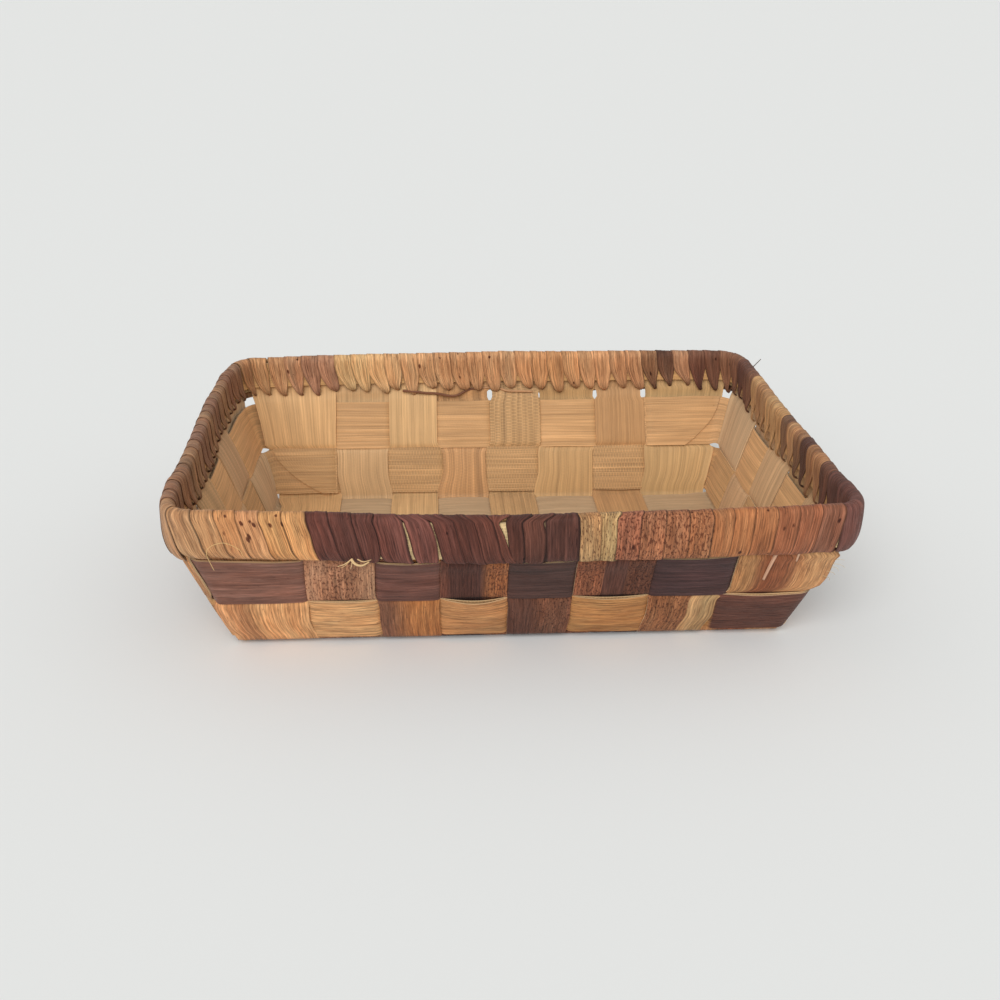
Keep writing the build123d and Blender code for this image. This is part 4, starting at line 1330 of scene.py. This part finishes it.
def makeWinding(node, firstTurn, turns, specks, dots, creases, slantsIn, slantsOut, tones):
    tones = [colour(tone) for tone in tones.split()]
    seed = firstTurn + 100
    width = turnPitch + lashing["overlap"]
    blunt = tongueShape.get(node, 1.0)

    def parts(way):
        # the turn counted along this strip, the turn counted round the rim, and the share of the turn
        walked = way / lashing["loopLength"]
        turn = min(int(walked + 1e-6), turns - 1)
        return turn, firstTurn + turn, walked - turn

    def creaseAt(share, side, turn):
        deep = wobble(share * 2.6, side * 7.5, seed + turn)
        fine = wobble(share * 1.8, side * 17, seed + turn)
        return creases * lashing["crease"] * (deep + lashing["fineCrease"] * fine)

    def place(way, across):
        turn, whole, share = parts(way)
        done = (turn + share) / turns
        offset, z, widthShare = loopAt(share)
        # width: a tongue at the inner end, full from the crown on
        reach = clamp(widthShare) ** (blunt * (1 + lashing["bluntVary"] * wobble(whole * 2.3, 1.1, 21)))
        widthHere = mix(lashing["tongueWidth"], width, reach)
        widthHere *= 1 + lashing["tongueVary"] * wobble(whole * 1.37, 5.0, 11) * (1 - reach)
        side = across / width - 0.5
        edge = abs(2 * side)
        # pushed edges and gaps on the outside
        onOutside = smooth((share - crownEnd + lashing["pushEase"]) / lashing["pushEase"])
        topness = clamp((outsideEnd - share) / (outsideEnd - crownEnd))
        pushed = onOutside * (1 - smooth((share - outsideEnd) / (1 - outsideEnd)))
        nearPush, farPush = edgePushes.get(whole, 0.0), edgePushes.get(whole + 1, 0.0)
        if whole in lashGaps:
            low, high, power = lashGaps[whole]
            farPush -= low * (1 - topness) ** power + high * topness ** power
        widthHere += (farPush - nearPush) * pushed
        # away from the rim: each turn overlaps the next like a shingle, and a tongue curls its edges inwards
        puffed = lashing["puff"] + lashing["tongueCurl"] * (1 - reach)
        out = lashing["shingle"] * side * reach + creaseAt(share, side, turn) + puffed * (1 - edge ** 2)
        # along the rim
        advance = advanceAt(share, mix(*slantsIn, done), mix(*slantsOut, done))
        travel = (whole + lashing["lead"] + advance) * turnPitch
        travel += side * widthHere + (farPush + nearPush) / 2 * pushed
        wander = lashing["wander"] * smooth(share / lashing["wanderFrom"])
        travel += wander * wobble(share * 3.5, whole * 1.7, 5)
        travel += lashing["nick"] * wobble(share * 14, whole * 2.3 + side, 6) * edge
        # up and down: the low edge outside and the tips of the tongues inside are uneven
        if offset > 0:
            start = lashing["waveStart"]
            drop = curveThrough(waves["lowRise"], (whole * turnPitch + start) % rimTravel - start)
            drop += lashing["lowVary"] * wobble(whole * 0.9, 4.2 + side, 7)
            z += drop * clamp((lashing["lowFrom"] - z) / lashing["lowOver"])
        elif offset < 0:
            inTongue = clamp((lashing["tongueFrom"] - z) / lashing["tongueOver"])
            z += lashing["tipRise"] * wobble(whole * 1.3, 8.1, 8) * inTongue
            travel += lashing["tipAside"] * wobble(whole * 1.7, 2.9, 14) * inTongue
        normalOut, normalUp = loopNormal(share)
        return rimSpot(travel, z + normalUp * out, offset + normalOut * out)

    def tone(way, across):
        turn, whole, share = parts(way)
        position = clamp((turn + share) / turns) * (len(tones) - 1)
        index = min(int(position), len(tones) - 2)
        base = mixColours(tones[index], tones[index + 1], smooth(position - index))
        side = across / width - 0.5
        edge = abs(2 * side)
        offset, z = loopAt(share)[:2]
        shade = 1 + lashing["turnVary"] * wobble(whole * 1.9, 3.3, 12)
        shade += lashing["patchVary"] * wobble(share * 4, across / 2.5, seed)
        # painted shade in the crease valleys and painted light on their ridges
        shade *= 1 + lashing["creaseShading"] * creaseAt(share, side, turn)
        # painted shade along the edges of each turn, and a painted highlight just inside them
        paintedEdgeShade = lashing["paintedEdgeShade" if offset > 0 else "paintedEdgeShadeInside"]
        shade *= 1 - paintedEdgeShade * fade(edge, *lashing["line"])
        shade *= 1 + lashing["paintedHighlight"] * hill(edge, *lashing["sheen"])
        if offset < 0:
            pinched = smooth((lashing["tipFrom"] - z) / lashing["tipOver"])
            shade *= 1 - lashing["tipDark"] * pinched * (0.6 + 0.4 * wobble(whole * 1.1, 0.4, 13))
        return shaded(base, max(shade, lashing["darkest"])), (specks, dots, 1.0)

    stepsPerTurn = lashing["stepsPerTurn"]
    alongSteps = [n / stepsPerTurn * lashing["loopLength"] for n in range(turns * stepsPerTurn + 1)]
    acrossSteps = sorted(evenSteps(0.0, width, width / lashing["acrossSteps"])
                         + [share * width for share in lashing["edgeShares"]])
    makeSheet(node + "_strip", alongSteps, acrossSteps, place, tone, lashing["thickness"], [windingBark],
              node, lashSlots[node], seed,
              probe=(alongSteps[int(stepsPerTurn * lashing["probe"])], width / 2))


turnNumber = 0
for node, winding in windings.items():
    makeWinding(node, turnNumber, *winding)
    turnNumber += winding[0]
print("lashing made")

# Loose fibres, straw and cut ends that stick out of the work: points, thickness, share lost at the tip, hex
looseEnds = {
    "fibre_loop": ([(-140.6, -113.6, 56.4), (-143.0, -114.8, 65.4), (-141.0, -115.0, 69.3),
                    (-135.5, -115.0, 71.2), (-131.1, -115.0, 69.8), (-127.7, -114.8, 67.1),
                    (-126.6, -114.4, 63.9), (-126.2, -111.8, 61.5)], 0.32, 0.3, "#E6BE80"),
    "straw_1": ([(-77.2, -112.6, 60.6), (-80.6, -113.9, 58.6), (-83.9, -113.5, 57.3)], 0.6, 0.5, "#E4C08C"),
    "straw_2": ([(-77.6, -112.6, 60.4), (-80.2, -113.7, 57.9), (-82.4, -113.0, 56.2)], 0.5, 0.5, "#D8B07C"),
    "straw_3": ([(-77.6, -112.6, 60.6), (-75.6, -113.9, 58.6), (-72.6, -114.0, 57.8), (-69.2, -113.4, 59.4)],
                1.5, 0.5, "#E0BC88"),
    "straw_4": ([(-77.0, -112.6, 60.4), (-77.4, -113.6, 57.8), (-78.0, -112.8, 55.6)], 0.5, 0.5, "#E8C694"),
    "straw_5": ([(-74.6, -112.6, 60.4), (-71.8, -114.0, 59.8), (-68.2, -113.7, 60.6)], 0.7, 0.5, "#DCB684"),
    "cut_end_1": ([(125.6, -109.0, 60.0), (125.0, -107.4, 55.9), (123.7, -104.9, 48.5),
                   (122.4, -101.9, 39.9)], 2.1, 0.3, "#D8A888"),
    "cut_end_2": ([(136.6, -109.2, 60.0), (136.4, -107.7, 56.8), (136.1, -106.2, 52.0)], 1.6, 0.5, "#DCB090"),
    "fringe_1": ([(152.5, -104.2, 50.8), (158.0, -103.6, 51.0), (161.2, -103.2, 50.4)], 0.3, 0.6, "#EAD2A6"),
    "fringe_2": ([(152.5, -103.4, 48.6), (159.0, -103.0, 48.0), (162.6, -102.2, 45.6)], 0.3, 0.6, "#EAD2A6"),
    "fringe_3": ([(152.5, -102.6, 46.6), (158.0, -101.8, 45.7), (160.2, -100.6, 43.0)], 0.3, 0.6, "#EAD2A6"),
    "fringe_4": ([(152.0, -101.6, 44.0), (157.0, -101.0, 42.5), (158.8, -100.0, 40.5)], 0.3, 0.6, "#E2C494"),
    "fringe_5": ([(151.5, -100.6, 41.0), (156.0, -100.0, 39.0), (156.6, -99.4, 37.0)], 0.3, 0.6, "#E2C494"),
    "twig": ([(160.6, 85.0, 85.6), (162.6, 85.0, 88.4), (166.8, 85.0, 93.2)], 0.8, 0.3, "#77706A"),
}


def rounded(points, count=6):
    # a smooth curve through the points
    last = len(points) - 1
    result = []
    for index in range(last):
        four = [points[max(0, min(index + n, last))] for n in (-1, 0, 1, 2)]
        result += [throughFour(*four, n / count) for n in range(count)]
    return result + [points[-1]]


for name, (points, thick, taper, hexText) in looseEnds.items():
    makeTube(name, rounded([Vector(point) for point in points]), thick / 2, plainTone(hexText, spread=0.2),
             [], "lashing_tan", taper=taper, sides=6, settled=True)
print("loose ends made")


# Studio: a pale floor that runs out of the picture, soft light, and the camera of the photo
studio = {
    "floorHex": "#E4E6E6",
    "floorHalf": 60.0,
    "worldHex": "#F7F6F3", "worldStrength": 0.66,
    "backdropHex": "#E5E6E3",
    "sunFrom": (-0.26, -0.92, 0.74), "sunAngle": 50.0, "sunPower": 2.0,
}


def makeFloor():
    bm = bmesh.new()
    bmesh.ops.create_grid(bm, x_segments=1, y_segments=1, size=studio["floorHalf"])
    material, tree = newMaterial("paleFloor")
    finishMaterial(tree, {"Base Color": colour(studio["floorHex"]), "Roughness": 0.9,
                          "Specular IOR Level": 0.1})
    floor = newObject(bm, "studioFloor", [material])


def makeSun():
    data = bpy.data.lights.new("windowLight", "SUN")
    data.angle = radians(studio["sunAngle"])
    data.energy = studio["sunPower"]
    lamp = bpy.data.objects.new("windowLight", data)
    lamp.location = studio["sunFrom"]
    lamp.rotation_euler = Vector(studio["sunFrom"]).to_track_quat("Z", "Y").to_euler()
    bpy.context.scene.collection.objects.link(lamp)


def makeWorld():
    world = bpy.data.worlds.new("softRoom")
    world.use_nodes = True
    tree = world.node_tree
    tree.nodes.clear()
    sky = addNode(tree, "Background",
                  {"Color": colour(studio["worldHex"]), "Strength": studio["worldStrength"]})
    seen = addNode(tree, "Background", {"Color": colour(studio["backdropHex"]), "Strength": 1.0})
    path = addNode(tree, "LightPath", {})
    both = addNode(tree, "MixShader", {0: path.outputs["Is Camera Ray"], 1: sky, 2: seen})
    addNode(tree, "OutputWorld", {0: both})
    bpy.context.scene.world = world


photoCamera = {
    "place": (-0.03975, -0.5788, 0.304),
    "yaw": radians(3.82), "pitch": radians(24.64), "roll": radians(0.78),
    "lens": 40.45, "sensor": 36.0,
}


def makeCamera():
    data = bpy.data.cameras.new("photoCamera")
    data.lens = photoCamera["lens"]
    data.sensor_width = photoCamera["sensor"]
    camera = bpy.data.objects.new("photoCamera", data)
    turned = (Matrix.Rotation(-photoCamera["yaw"], 4, "Z")
              @ Matrix.Rotation(pi / 2 - photoCamera["pitch"], 4, "X")
              @ Matrix.Rotation(photoCamera["roll"], 4, "Z"))
    camera.matrix_world = Matrix.Translation(photoCamera["place"]) @ turned
    bpy.context.scene.collection.objects.link(camera)
    bpy.context.scene.camera = camera


makeFloor()
makeWorld()
makeSun()
makeCamera()
bpy.context.scene.view_settings.view_transform = "Standard"
print("studio made")
